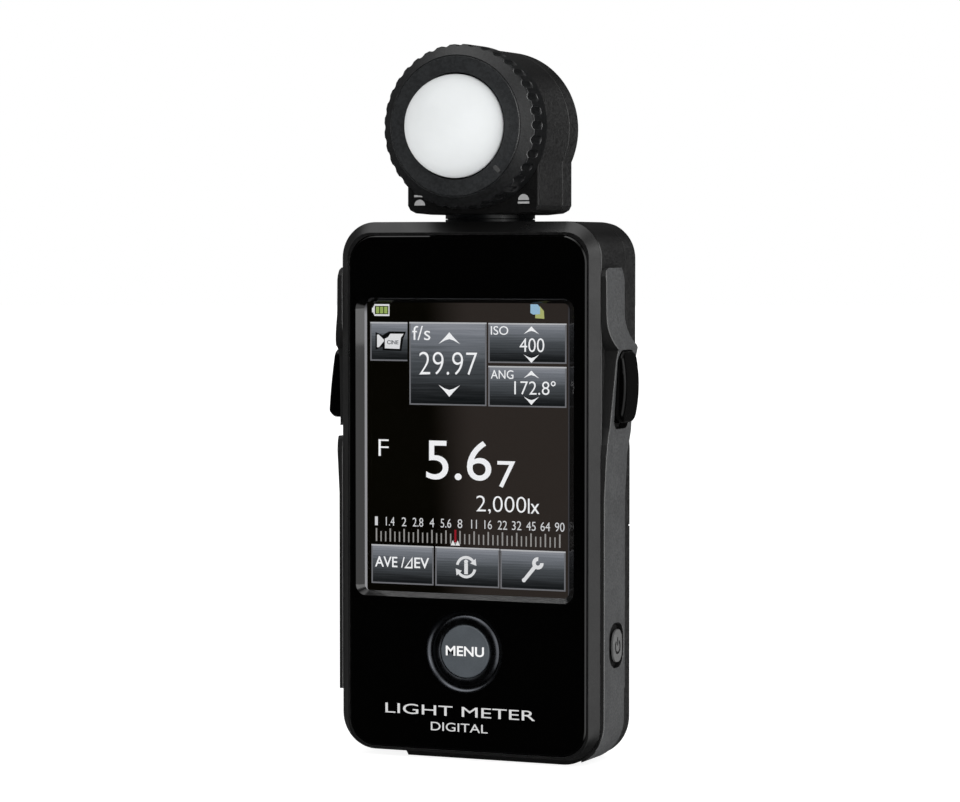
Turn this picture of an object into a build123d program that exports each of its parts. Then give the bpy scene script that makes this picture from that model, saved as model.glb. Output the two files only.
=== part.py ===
"""Handheld light meter with a touch display and a swivelling, retractable dome head.

Frame, in millimetres: +Z up, the display faces -Y, +X is to the viewer's right.
The origin is the mouth of the tripod socket, on the axis about which the head swivels.
Each function returns one sub-part, and NODES at the end names them.
"""

import os
from math import atan2, cos, degrees, hypot, radians, sin

from build123d import *

# Overall sizes
OVERALL_HEIGHT = 140.4
BODY_WIDTH = 55.2
BODY_TOP_Z = 106.0
BEZEL_BOTTOM_Z = 1.07
BODY_CORNER_R = 7.1
WALL = 1.6

# Depth stations, front to back
PANEL_Y = -12.0
BEZEL_FACE_Y = -11.8
BEZEL_EDGE_Y = -10.3
LEDGE_Y = -10.8
SEAM_Y = -9.6
BACK_Y = 9.9
LOWER_BACK_Y = 7.0

# Front panel, display and menu key
PANEL_HALF_WIDTH = 25.3
PANEL_BOTTOM_Z = 2.04
PANEL_TOP_Z = 103.3
PANEL_CORNER_R = 5.5
DISPLAY_X = -0.6
DISPLAY_HALF_WIDTH = 21.95
DISPLAY_BOTTOM_Z = 32.8
DISPLAY_TOP_Z = 90.1
DISPLAY_BEVEL = 1.4
DISPLAY_CORNER_R = 1.2
MENU_X = -0.4
MENU_Z = 21.6
MENU_KEY_R = 5.2
MENU_DISH_R = 8.2
MENU_TRAVEL = 0.6

# Rear case
CASE_HALF_WIDTH = 27.35
CASE_TOP_Z = 106.0
CASE_INNER_HALF_WIDTH = CASE_HALF_WIDTH - WALL
CASE_CORNER_R = 7.2
CASE_LOWER_CORNER_R = 8.2
CASE_PARTING_Y = 3.7
CASE_LID = 1.8
CAVITY_CORNER_R = 5.6
UPPER_CAVITY_Z = 82.0
DOOR_ZONE_TOP_Z = 48.0
DOOR_PAD_Y = 2.9
CORNER_CUT_X = -14.0

# Side grips and side buttons
GRIP_TOP_Z = 97.0
LEFT_GRIP_BOTTOM_Z = 12.8
GRIP_WRAP_X = 23.4
GRIP_WRAP_TOP_Z = 14.5
GRIP_FRONT_Y = -10.2
GRIP_REAR_Y = 0.8
GRIP_OUTER_X = 28.45
GRIP_CORNER_R = 8.6
SIDE_BUTTON_Y = (-6.5, 1.0)
SIDE_BUTTON_Z = (66.9, 80.8)
SIDE_BUTTON_CREST_X = 31.35
WEDGE_BUTTON_CREST_X = 32.7
SIDE_TRAVEL = 0.8
SIDE_PLUNGER_X = 22.3
SIDE_SWITCH_Z = 74.0
POWER_Y = -2.4
POWER_Z = 23.1
POWER_TRAVEL = 0.4
POWER_PLUNGER_X = 24.45
BUTTON_GAP = 0.25

# Battery bay: two AAA cells lying across the body
CELL_R = 5.25
CELL_LENGTH = 44.5
CELL_Y = -0.85
CELL_LOWER_Z = 19.9
CELL_UPPER_Z = 31.3
BAY_X = (-24.3, 23.0)
BAY_Z = (13.4, 37.8)
TRAY_FLOOR_Y = -7.0
TRAY_WALL = 0.7
DOOR_HALF_WIDTH = 24.4
DOOR_Z = (5.55, 46.0)
DOOR_THICKNESS = 1.5
DOOR_GAP = 0.2
HINGE_Z = 6.3
HINGE_PIN_R = 0.5

# Main circuit board and case screws
BOARD_Y = -5.3
BOARD_THICKNESS = 1.0
UPPER_SCREWS = [(-20.5, 99.3), (20.5, 99.3)]
LOWER_SCREWS = [(-21.5, 9.0), (21.5, 9.0)]
BOARD_SCREWS = [(-17.0, 90.0), (17.0, 90.0), (-17.0, 45.0), (17.0, 45.0)]
BOSS_R = 2.4

# Sockets
USB_Z = 52.4
SYNC_Z = 59.4
COVER_Z = (47.25, 62.0)
COVER_FRONT_Y = -5.95
COVER_INNER_X = -27.4
COVER_HINGE = (-27.75, GRIP_REAR_Y - 0.05)
COVER_ROLL_R = 0.35
TRIPOD_HOLE_R = 2.55
TRIPOD_DEPTH = 7.0
TRIPOD_BUSH_R = 4.6

# Neck
SHAFT_R = 3.6
SHAFT_FIT = 0.05
NECK_R = 8.9
NECK_GAP_Z = (106.5, 106.65)

# Head, with every round part on one axis along Y
HEAD_AXIS_Z = 124.45
HEAD_R = 15.55
HEAD_HALF_DEPTH = 8.8
HEAD_BOTTOM_Z = 107.4
HEAD_FOOT_HALF_WIDTH = 14.1
HEAD_SEAM_Y = 3.3
SEAM_CHAMFER = 0.2
HEAD_WALL = 1.75
HEAD_FLOOR_Z = 109.5
HEAD_SCREWS = [(-11.4, 112.0), (11.4, 112.0)]
RING_R = OVERALL_HEIGHT - HEAD_AXIS_Z
RING_FACE_Y = -17.27
RING_EDGE_Y = -15.64
RING_BACK_Y = -9.15
RING_FACE_R = 13.8
RING_BORE_R = 10.4
KNURLS = 36
KNURL_CENTRE_R = 16.65
KNURL_CUT_R = 1.1
KNURL_END_Y = -12.4
CAM_TUBE_R = (11.05, 12.0)
GUIDE_R = (10.15, 10.95)
DOME_R = 10.05
DOME_CENTRE_Y = -16.7
DOME_WALL = 1.05
DOME_TRAVEL = 9.4
RING_TURN = 84.0
PIN_R = 0.85
PIN_Y = -10.3
PIN_ENDS_R = (8.7, 11.6)
PIN_ANGLES = (90.0, 210.0, 330.0)


def box(x, y, z):
    """A box between the given (low, high) pairs."""
    size = [pair[1] - pair[0] for pair in (x, y, z)]
    centre = [(pair[0] + pair[1]) / 2 for pair in (x, y, z)]
    return Pos(*centre) * Box(*size)


def rod(radius, start, end):
    """A cylinder from the start point to the end point."""
    direction = Vector(*end) - Vector(*start)
    return extrude(Plane(origin=start, z_dir=direction) * Circle(radius), amount=direction.length)


def tube(outer, inner, start, end):
    return rod(outer, start, end) - rod(inner, start, end)


def front_rectangle(x, z, corner):
    """A rounded rectangle in a plane that faces the front: local x is X, local y is Z."""
    centre = ((x[0] + x[1]) / 2, (z[0] + z[1]) / 2)
    return Pos(*centre) * RectangleRounded(x[1] - x[0], z[1] - z[0], corner)


def along_y(sketch, y0, y1):
    """The sketch, drawn in X and Z, as a solid from y0 back to y1."""
    return extrude(Plane.XZ.offset(-y1) * sketch, amount=y1 - y0)


def along_x(sketch, x0, x1):
    """The sketch, drawn in Y and Z, as a solid from x0 to x1."""
    return extrude(Plane.YZ.offset(x0) * sketch, amount=x1 - x0)


def side_rectangle(y, z, corner):
    centre = ((y[0] + y[1]) / 2, (z[0] + z[1]) / 2)
    return Pos(*centre) * RectangleRounded(y[1] - y[0], z[1] - z[0], corner)


def tapered(front, y0, back, y1):
    """A solid whose outline changes from one rounded rectangle to another."""
    return loft([Plane.XZ.offset(-y0) * front, Plane.XZ.offset(-y1) * back], ruled=True)


def head_rod(radius, y0, y1):
    """A cylinder on the head's axis."""
    return rod(radius, (0, y0, HEAD_AXIS_Z), (0, y1, HEAD_AXIS_Z))


def head_tube(outer, inner, y0, y1):
    return head_rod(outer, y0, y1) - head_rod(inner, y0, y1)


def turned_outline(outline, centre_x=0.0, centre_z=HEAD_AXIS_Z):
    """A solid of revolution about an axis along Y, from a closed (radius, y) outline."""
    solid = revolve(make_face(outline), Axis.Y, 360)
    return Pos(centre_x, 0, centre_z) * solid


def turned(points, centre_x=0.0, centre_z=HEAD_AXIS_Z):
    """The same from straight runs between (radius, y) points."""
    return turned_outline(Polyline(*points, close=True), centre_x, centre_z)


def mirrored_x(shape):
    return mirror(shape, Plane.YZ)


def hollow_of(shape, cuts):
    for cut in cuts:
        shape = shape - cut
    return shape


# Front of the body


def front_bezel():
    """Bevelled frame whose ledge carries the panel and whose bosses take the case screws."""
    half = BODY_WIDTH / 2
    face = front_rectangle((-half + 1.85, half - 1.85), (1.62, BODY_TOP_Z - 2.1), 5.0)
    rim = front_rectangle((-half, half), (BEZEL_BOTTOM_Z, BODY_TOP_Z), BODY_CORNER_R)
    frame = tapered(face, BEZEL_FACE_Y, rim, BEZEL_EDGE_Y) + along_y(rim, BEZEL_EDGE_Y, SEAM_Y)
    gap = 0.12
    seat = front_rectangle(
        (-PANEL_HALF_WIDTH - gap, PANEL_HALF_WIDTH + gap),
        (PANEL_BOTTOM_Z - gap, PANEL_TOP_Z + gap),
        PANEL_CORNER_R,
    )
    window = front_rectangle((DISPLAY_X - 23.9, DISPLAY_X + 23.9), (30.2, 92.7), 1.0)
    frame -= along_y(seat, PANEL_Y - 1, LEDGE_Y)
    frame -= along_y(window, LEDGE_Y - 1, SEAM_Y + 1)
    frame -= rod(8.4, (MENU_X, LEDGE_Y - 1, MENU_Z), (MENU_X, SEAM_Y + 1, MENU_Z))
    for x, z in UPPER_SCREWS:
        frame += rod(BOSS_R, (x, SEAM_Y, z), (x, BACK_Y - WALL, z))
        frame -= rod(0.95, (x, SEAM_Y + 2, z), (x, BACK_Y, z))
    for x, z in LOWER_SCREWS:
        frame += rod(BOSS_R, (x, SEAM_Y, z), (x, DOOR_PAD_Y, z))
        frame -= rod(0.95, (x, SEAM_Y + 2, z), (x, BACK_Y, z))
    return frame


def front_panel():
    """Glossy panel with a bevelled display window and a round opening for the menu key."""
    outline = front_rectangle(
        (-PANEL_HALF_WIDTH, PANEL_HALF_WIDTH), (PANEL_BOTTOM_Z, PANEL_TOP_Z), PANEL_CORNER_R
    )
    inset = front_rectangle(
        (-PANEL_HALF_WIDTH + 0.25, PANEL_HALF_WIDTH - 0.25),
        (PANEL_BOTTOM_Z + 0.25, PANEL_TOP_Z - 0.25),
        PANEL_CORNER_R - 0.25,
    )
    panel = tapered(inset, PANEL_Y, outline, PANEL_Y + 0.25) + along_y(
        outline, PANEL_Y + 0.25, LEDGE_Y
    )
    x = (DISPLAY_X - DISPLAY_HALF_WIDTH, DISPLAY_X + DISPLAY_HALF_WIDTH)
    z = (DISPLAY_BOTTOM_Z, DISPLAY_TOP_Z)
    inner = front_rectangle(x, z, DISPLAY_CORNER_R)
    outer = front_rectangle(
        (x[0] - DISPLAY_BEVEL, x[1] + DISPLAY_BEVEL),
        (z[0] - DISPLAY_BEVEL * 0.65, z[1] + DISPLAY_BEVEL * 0.65),
        DISPLAY_CORNER_R + 1.0,
    )
    panel -= tapered(outer, PANEL_Y, inner, LEDGE_Y)
    panel -= rod(MENU_DISH_R, (MENU_X, PANEL_Y - 1, MENU_Z), (MENU_X, LEDGE_Y + 1, MENU_Z))
    return panel


def touch_glass():
    outline = front_rectangle((DISPLAY_X - 23.7, DISPLAY_X + 23.7), (30.4, 92.5), 0.8)
    return along_y(outline, LEDGE_Y, LEDGE_Y + 1.0)


def lcd_module():
    return box((DISPLAY_X - 22.9, DISPLAY_X + 22.9), (LEDGE_Y + 1.0, -8.2), (31.0, 92.0))


def lcd_frame():
    """Pressed steel tray that holds the display module against the glass."""
    tray = box((DISPLAY_X - 24.6, DISPLAY_X + 24.6), (SEAM_Y, -7.4), (29.4, 93.4))
    pocket = box((DISPLAY_X - 23.0, DISPLAY_X + 23.0), (SEAM_Y - 1, -8.2), (30.9, 92.1))
    return tray - pocket


def menu_ring():
    """Glossy dish round the menu key: an outer slope, a groove and a low inner swell."""
    bore = MENU_KEY_R + 0.2
    groove = (7.15, -11.3)
    outline = (
        Line((bore, LEDGE_Y - 0.05), (bore, -11.5))
        + ThreePointArc((bore, -11.5), (6.0, -11.68), groove)
        + ThreePointArc(groove, (7.75, -11.5), (MENU_DISH_R - 0.1, PANEL_Y))
        + Line((MENU_DISH_R - 0.1, PANEL_Y), (MENU_DISH_R, PANEL_Y))
        + Line((MENU_DISH_R, PANEL_Y), (MENU_DISH_R, LEDGE_Y - 0.05))
        + Line((MENU_DISH_R, LEDGE_Y - 0.05), (bore, LEDGE_Y - 0.05))
    )
    return turned_outline(outline, MENU_X, MENU_Z)


def menu_button():
    cap = rod(MENU_KEY_R, (MENU_X, -11.7, MENU_Z), (MENU_X, -10.3, MENU_Z))
    cap = fillet(cap.edges().sort_by(Axis.Y)[0], 0.3)
    flange = rod(6.2, (MENU_X, LEDGE_Y, MENU_Z), (MENU_X, -10.35, MENU_Z))
    stem = rod(1.5, (MENU_X, -10.3, MENU_Z), (MENU_X, -9.3 - MENU_TRAVEL - 0.05, MENU_Z))
    return cap + flange + stem


def key_board():
    return box((-14, 14), (-8.1, -7.3), (9.5, 28.5))


def menu_switch():
    base = box((MENU_X - 2.6, MENU_X + 2.6), (-8.9, -8.1), (MENU_Z - 2.6, MENU_Z + 2.6))
    return base + rod(1.6, (MENU_X, -9.3, MENU_Z), (MENU_X, -8.9, MENU_Z))


# Rear case


def case_side_profile():
    """Side view of the case: full depth above, stepping forward below the side buttons."""
    return make_face(
        Polyline(
            (SEAM_Y, 0.9),
            (SEAM_Y + 0.9, 0.0),
            (LOWER_BACK_Y - 1.6, 0.0),
            (LOWER_BACK_Y - 0.5, 0.5),
            (LOWER_BACK_Y, 1.6),
            (LOWER_BACK_Y, 61.5),
            (LOWER_BACK_Y - 0.6, 64.8),
            (LOWER_BACK_Y - 0.3, 68.0),
            (BACK_Y - 0.5, 78.5),
            (BACK_Y, 82.0),
            (BACK_Y, 104.0),
            (BACK_Y - 0.6, 105.3),
            (BACK_Y - 1.9, CASE_TOP_Z),
            (SEAM_Y, CASE_TOP_Z),
            close=True,
        )
    )


def case_outline(inset=0.0):
    """Front view of the case, rounder at its lower corners."""
    x = (-CASE_HALF_WIDTH + inset, CASE_HALF_WIDTH - inset)
    upper = front_rectangle(x, (-20.0, CASE_TOP_Z - inset), CASE_CORNER_R - inset)
    return upper & front_rectangle(x, (inset, 130.0), CASE_LOWER_CORNER_R - inset)


def parting_line():
    """Fine groove round the sides and top of the case, above the grips."""
    edge = case_outline() - case_outline(0.2)
    y = (CASE_PARTING_Y - 0.12, CASE_PARTING_Y + 0.12)
    return along_y(edge, *y) & box((-30, 30), (-20, 20), (86.0, 110.0))


def rear_case():
    outline = case_outline()
    shell = along_y(outline, SEAM_Y, BACK_Y + 1) & along_x(
        case_side_profile(), -CASE_HALF_WIDTH - 1, CASE_HALF_WIDTH + 1
    )
    back_edges = shell.edges().filter_by(lambda e: abs(e.center().X) > 25.5)
    back_edges = back_edges.filter_by(lambda e: e.center().Y > LOWER_BACK_Y - 0.9)
    shell = fillet(back_edges, 1.0)
    shell -= parting_line()
    inner = (-CASE_INNER_HALF_WIDTH, CASE_INNER_HALF_WIDTH)
    upper = front_rectangle(inner, (DOOR_ZONE_TOP_Z, CASE_TOP_Z - CASE_LID), 0.8)
    upper &= front_rectangle(inner, (0, CASE_TOP_Z - CASE_LID), CAVITY_CORNER_R)
    shell -= along_y(upper, SEAM_Y - 1, 4.4)
    rear_x = (inner[0] + 1.2, inner[1] - 1.2)
    rear = front_rectangle(rear_x, (UPPER_CAVITY_Z, CASE_TOP_Z - CASE_LID), 0.8)
    rear &= front_rectangle(rear_x, (0, CASE_TOP_Z - CASE_LID), CAVITY_CORNER_R - 1.2)
    shell -= along_y(rear, 4.3, BACK_Y - WALL)
    lower = front_rectangle(inner, (1.8, DOOR_ZONE_TOP_Z), 5.5)
    lower += front_rectangle(inner, (14.0, DOOR_ZONE_TOP_Z + 2), 0.8)
    shell -= along_y(lower, SEAM_Y - 1, DOOR_PAD_Y)
    shell += box((-27.0, CORNER_CUT_X), (SEAM_Y + 0.3, LOWER_BACK_Y - 1.7), (2.0, 6.2)) & (
        along_y(outline, SEAM_Y, BACK_Y)
    )
    shell += rod(5.6, (0, 0, 0), (0, 0, 9.6)) & along_y(outline, SEAM_Y, BACK_Y)
    shell -= corner_relief()
    shell -= rod(TRIPOD_BUSH_R, (0, 0, -1), (0, 0, 8.6))
    shell -= rod(5.4, (0, 0, CASE_TOP_Z - 3), (0, 0, CASE_TOP_Z + 1))
    shell = hollow_of(shell, door_cuts() + side_cuts() + screw_cuts() + seam_notches())
    for x, z in BOARD_SCREWS:
        back = BACK_Y - WALL if z > UPPER_CAVITY_Z else 4.4 if z > DOOR_ZONE_TOP_Z else DOOR_PAD_Y
        shell += tube(2.0, 0.75, (x, BOARD_Y + BOARD_THICKNESS, z), (x, back, z))
    return shell


def corner_relief():
    """The lower left corner is cut back behind the bezel and holds the strap bar's pocket."""
    kept = front_rectangle((-CASE_HALF_WIDTH, 60), (BEZEL_BOTTOM_Z, 100), BODY_CORNER_R)
    step = box((-40, CORNER_CUT_X), (-20, 20), (-1, 12)) - along_y(kept, -21, 21)
    pocket = box((-25.2, -15.4), (-5.0, 3.0), (-1, 4.8))
    bar = rod(0.9, (-26.6, -1.0, 2.6), (CORNER_CUT_X - 0.2, -1.0, 2.6))
    return step + pocket + bar


def door_cuts():
    recess = box(
        (-DOOR_HALF_WIDTH - DOOR_GAP, DOOR_HALF_WIDTH + DOOR_GAP),
        (LOWER_BACK_Y - DOOR_THICKNESS - 0.1, LOWER_BACK_Y + 5),
        (DOOR_Z[0] - DOOR_GAP, DOOR_Z[1] + DOOR_GAP),
    )
    mouth = box(BAY_X, (DOOR_PAD_Y - 1, LOWER_BACK_Y), BAY_Z)
    hinge_y = LOWER_BACK_Y - DOOR_THICKNESS / 2
    pin_hole = rod(
        HINGE_PIN_R + SHAFT_FIT,
        (-DOOR_HALF_WIDTH - 1.7, hinge_y, HINGE_Z),
        (DOOR_HALF_WIDTH + 1.7, hinge_y, HINGE_Z),
    )
    catch = box((-6, 6), (LOWER_BACK_Y - DOOR_THICKNESS - 0.1, LOWER_BACK_Y - 0.8), (DOOR_Z[1], 48.2))
    return [recess, mouth, pin_hole, catch]


def side_cuts():
    """Openings in the side walls for the buttons and the sockets."""
    y = (SIDE_BUTTON_Y[0] - BUTTON_GAP, SIDE_BUTTON_Y[1] + BUTTON_GAP)
    z = (SIDE_BUTTON_Z[0] - BUTTON_GAP, SIDE_BUTTON_Z[1] + BUTTON_GAP)
    window = along_x(side_rectangle(y, z, 2.0), CASE_INNER_HALF_WIDTH - 1, CASE_HALF_WIDTH + 1)
    power = rod(1.65, (CASE_INNER_HALF_WIDTH - 1, POWER_Y, POWER_Z), (30, POWER_Y, POWER_Z))
    usb = box((-30, -CASE_INNER_HALF_WIDTH + 1), (-4.4, -0.3), (USB_Z - 3.95, USB_Z + 3.95))
    sync = rod(2.3, (-30, -2.2, SYNC_Z), (-CASE_INNER_HALF_WIDTH + 1, -2.2, SYNC_Z))
    return [window, mirrored_x(window), power, usb, sync]


def seam_notches():
    """The door's top and bottom seams, carried round the rear corners of the case."""
    notches = []
    for z in (DOOR_Z[0] - 0.3, DOOR_Z[1] + 0.1):
        for x in (-CASE_HALF_WIDTH, CASE_HALF_WIDTH):
            notches.append(Pos(x, LOWER_BACK_Y, z) * Rot(0, 0, 45) * Box(2.0, 3.6, 0.35))
    return notches


def screw_cuts():
    cuts = []
    for x, z in UPPER_SCREWS:
        cuts.append(rod(1.05, (x, 5, z), (x, BACK_Y + 1, z)))
        cuts.append(rod(2.1, (x, BACK_Y - 1.0, z), (x, BACK_Y + 1, z)))
    for x, z in LOWER_SCREWS:
        cuts.append(rod(1.05, (x, 2, z), (x, LOWER_BACK_Y, z)))
        cuts.append(rod(2.1, (x, LOWER_BACK_Y - 2.4, z), (x, LOWER_BACK_Y, z)))
    return cuts


def case_screws():
    screws = []
    for x, z in UPPER_SCREWS:
        head = rod(1.9, (x, BACK_Y - 0.95, z), (x, BACK_Y - 0.15, z))
        screws.append(head + rod(0.9, (x, -5, z), (x, BACK_Y - 0.95, z)))
    for x, z in LOWER_SCREWS:
        head = rod(1.9, (x, LOWER_BACK_Y - 2.35, z), (x, LOWER_BACK_Y - 1.75, z))
        screws.append(head + rod(0.9, (x, -6, z), (x, LOWER_BACK_Y - 2.35, z)))
    return Compound(children=screws)


# Side grips, sharing one outline


def grip_side_outline():
    """Side view of the right grip: sweeps back round the side button."""
    return make_face(
        Polyline(
            (-0.7, 87.5),
            (-0.7, GRIP_TOP_Z - 1.4),
            (-1.6, GRIP_TOP_Z),
            (GRIP_FRONT_Y + 1.4, GRIP_TOP_Z),
            (GRIP_FRONT_Y + 0.4, GRIP_TOP_Z - 0.5),
            (GRIP_FRONT_Y, GRIP_TOP_Z - 1.6),
            (GRIP_FRONT_Y, 87.0),
        )
        + ThreePointArc((GRIP_FRONT_Y, 87.0), (GRIP_FRONT_Y + 0.7, 83.6), (-7.3, 81.0))
        + Polyline(
            (-7.3, 81.0),
            (-7.3, 79.0),
            (-8.0, 72.0),
            (-8.6, 66.0),
            (GRIP_FRONT_Y + 0.4, 62.8),
            (GRIP_FRONT_Y, 60.5),
            (GRIP_FRONT_Y, GRIP_WRAP_TOP_Z),
            (GRIP_REAR_Y, GRIP_WRAP_TOP_Z),
            (GRIP_REAR_Y, 61.0),
            (2.8, 65.0),
            (2.8, 81.9),
        )
        + ThreePointArc((2.8, 81.9), (0.3, 84.3), (-0.7, 87.5))
    )


def grip_front_outline():
    """Front view of the right grip: flares out to the side button and tapers below."""
    inner = CASE_HALF_WIDTH
    return make_face(
        Polyline(
            (28.9, 88.5),
            (28.85, GRIP_TOP_Z - 2.5),
            (28.5, GRIP_TOP_Z + 0.5),
            (inner, GRIP_TOP_Z + 0.5),
            (inner, GRIP_WRAP_TOP_Z),
            (GRIP_OUTER_X, GRIP_WRAP_TOP_Z),
            (GRIP_OUTER_X, 52.0),
            (28.95, 62.0),
            (28.9, 65.0),
            (29.8, 79.0),
            (30.3, 81.4),
        )
        + ThreePointArc((30.3, 81.4), (29.3, 84.7), (28.9, 88.5))
    )


def grip_corner():
    """The grip's lower end, carried round the corner of the case."""
    outer = front_rectangle((-40, GRIP_OUTER_X), (0, 100), GRIP_CORNER_R)
    wrap = along_y(outer - case_outline(), GRIP_FRONT_Y, GRIP_REAR_Y - 0.4)
    return wrap & box((GRIP_WRAP_X, 40), (-20, 20), (-1, GRIP_WRAP_TOP_Z))


def grip_block():
    block = along_x(grip_side_outline(), CASE_HALF_WIDTH, 33) & along_y(
        grip_front_outline(), -12, 5
    )
    block += grip_corner()
    half = BODY_WIDTH / 2 + 0.12
    bezel_path = front_rectangle((-half, half), (0, BODY_TOP_Z), BODY_CORNER_R)
    groove = Pos(29.0, 0, 46.1) * Rot(0, 45, 0) * Box(0.8, 30, 0.8)
    return block - along_y(bezel_path, -12, SEAM_Y + 0.1) - groove


def button_window():
    y = (SIDE_BUTTON_Y[0] - BUTTON_GAP, SIDE_BUTTON_Y[1] + BUTTON_GAP)
    z = (SIDE_BUTTON_Z[0] - BUTTON_GAP - 1.0, SIDE_BUTTON_Z[1] + BUTTON_GAP)
    return along_x(side_rectangle(y, z, 2.0), CASE_HALF_WIDTH - 1, 40)


def side_grip_right():
    recess = along_x(side_rectangle((-7.7, 0.2), (18.9, 27.8), 3.4), 27.0, 40)
    return grip_block() - button_window() - recess


def side_grip_left():
    grip = mirrored_x(grip_block() - button_window())
    grip -= box((-40, -27), (-20, -3), (63.4, 65.5))
    grip -= box((-40, -20), (-20, 10), (-1, LEFT_GRIP_BOTTOM_Z))
    grip -= box(
        (-40, -27), (COVER_FRONT_Y - 0.15, 10), (COVER_Z[0] - 0.15, COVER_Z[1] + 0.15)
    )
    return grip


def terminal_cover():
    """Rubber cover over the sockets, flush with the left grip, rolled round its rear hinge line."""
    cover = mirrored_x(grip_block()) & box((-40, -27), (COVER_FRONT_Y, COVER_HINGE[1]), COVER_Z)
    cover &= box((-40, COVER_INNER_X), (-20, 20), (0, 100))
    ends = [(*COVER_HINGE, z) for z in COVER_Z]
    return cover + rod(COVER_ROLL_R, *ends)


def side_button(front_view):
    """Tall button whose crest follows a front view, with an inner flange and a post."""
    outline = side_rectangle(SIDE_BUTTON_Y, SIDE_BUTTON_Z, 1.8)
    cap = along_x(outline, 25.0, 40) & along_y(front_view, -10, 10)
    crest = cap.edges().filter_by(lambda e: e.center().X > 30.0)
    cap = fillet(crest, 0.7)
    flange = box((24.3, 25.4), (-7.1, 1.8), (65.9, 81.8))
    post_end = SIDE_PLUNGER_X + SIDE_TRAVEL + 0.1
    post = rod(1.2, (post_end, -2.4, SIDE_SWITCH_Z), (24.4, -2.4, SIDE_SWITCH_Z))
    return cap + flange + post


def measure_button():
    """Right-hand button: bowed outwards, highest below its middle."""
    crest = SIDE_BUTTON_CREST_X
    return side_button(
        make_face(
            Line((25.0, 66.5), (crest - 1.0, 66.5))
            + ThreePointArc((crest - 1.0, 66.5), (crest, 72.0), (crest - 0.8, 81.2))
            + Line((crest - 0.8, 81.2), (25.0, 81.2))
            + Line((25.0, 81.2), (25.0, 66.5))
        )
    )


def memory_button():
    """Left-hand button: a wedge that rises towards its lower end."""
    crest = WEDGE_BUTTON_CREST_X
    return mirrored_x(
        side_button(
            make_face(
                Line((25.0, 66.5), (crest - 0.9, 66.5))
                + Line((crest - 0.9, 66.5), (crest, 68.2))
                + ThreePointArc((crest, 68.2), (crest - 0.6, 75.0), (crest - 1.5, 81.2))
                + Line((crest - 1.5, 81.2), (25.0, 81.2))
                + Line((25.0, 81.2), (25.0, 66.5))
            )
        )
    )


def side_switches():
    switch = box((19.4, 21.7), (BOARD_Y + BOARD_THICKNESS, -0.4), (71.0, 77.0))
    switch += rod(1.0, (21.7, -2.4, SIDE_SWITCH_Z), (SIDE_PLUNGER_X, -2.4, SIDE_SWITCH_Z))
    return Compound(children=[switch, mirrored_x(switch)])


def power_button():
    pad = along_x(side_rectangle((-4.75, -0.05), (19.9, 26.3), 2.2), 27.8, 28.2)
    stem_end = POWER_PLUNGER_X + POWER_TRAVEL + 0.05
    return pad + rod(1.5, (stem_end, POWER_Y, POWER_Z), (27.8, POWER_Y, POWER_Z))


def power_switch():
    base = box((23.75, 24.15), (POWER_Y - 2, POWER_Y + 2), (POWER_Z - 2, POWER_Z + 2))
    return base + rod(1.4, (24.15, POWER_Y, POWER_Z), (POWER_PLUNGER_X, POWER_Y, POWER_Z))


# Boards and sockets


def main_board():
    y = (BOARD_Y, BOARD_Y + BOARD_THICKNESS)
    board = box((-21, 21), y, (41.0, 93.3)) + box((-24.8, 24.8), y, (41.0, 62.6))
    for x, z in BOARD_SCREWS:
        board -= rod(0.8, (x, y[0] - 1, z), (x, y[1] + 1, z))
    return board


def board_screws():
    screws = []
    for x, z in BOARD_SCREWS:
        head = rod(1.5, (x, BOARD_Y - 0.6, z), (x, BOARD_Y, z))
        screws.append(head + rod(0.7, (x, BOARD_Y, z), (x, 0.5, z)))
    return Compound(children=screws)


def shield_can():
    back = BOARD_Y + BOARD_THICKNESS
    return box((-12, 12), (back, -2.0), (60, 84)) - box((-11.7, 11.7), (back, -2.3), (60.3, 83.7))


def usb_socket():
    back = BOARD_Y + BOARD_THICKNESS
    shell = box((-27.2, -20.4), (back, -0.4), (USB_Z - 3.85, USB_Z + 3.85))
    mouth = box((-28, -21.2), (back + 0.35, -0.75), (USB_Z - 3.5, USB_Z + 3.5))
    tongue = box((-26.4, -21.2), (-2.75, -1.95), (USB_Z - 2.4, USB_Z + 2.4))
    return shell - mouth + tongue


def sync_socket():
    """Flash sync terminal: a threaded-look ring with a centre contact."""
    ring = tube(2.2, 1.5, (-27.2, -2.2, SYNC_Z), (-21.4, -2.2, SYNC_Z))
    floor = rod(2.2, (-21.4, -2.2, SYNC_Z), (-20.6, -2.2, SYNC_Z))
    contact = rod(0.4, (-25.8, -2.2, SYNC_Z), (-21.4, -2.2, SYNC_Z))
    board_face = BOARD_Y + BOARD_THICKNESS
    socket = ring + floor + contact
    return socket & box((-30, 0), (board_face, 5), (0, 100))


def tripod_bush():
    """Threaded brass insert; its hole is blind."""
    return rod(TRIPOD_BUSH_R, (0, 0, 0), (0, 0, 8.6)) - rod(
        TRIPOD_HOLE_R, (0, 0, -1), (0, 0, TRIPOD_DEPTH)
    )


def strap_bar():
    return rod(0.9, (-26.6, -1.0, 2.6), (CORNER_CUT_X - 0.2, -1.0, 2.6))


# Battery bay


def battery_tray():
    x = (BAY_X[0] - TRAY_WALL + 0.1, BAY_X[1] + TRAY_WALL)
    z = (BAY_Z[0] - TRAY_WALL, BAY_Z[1] + TRAY_WALL)
    tray = box(x, (TRAY_FLOOR_Y, DOOR_PAD_Y - 0.1), z)
    tray -= box(BAY_X, (TRAY_FLOOR_Y + 0.8, DOOR_PAD_Y + 1), BAY_Z)
    return tray


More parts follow.
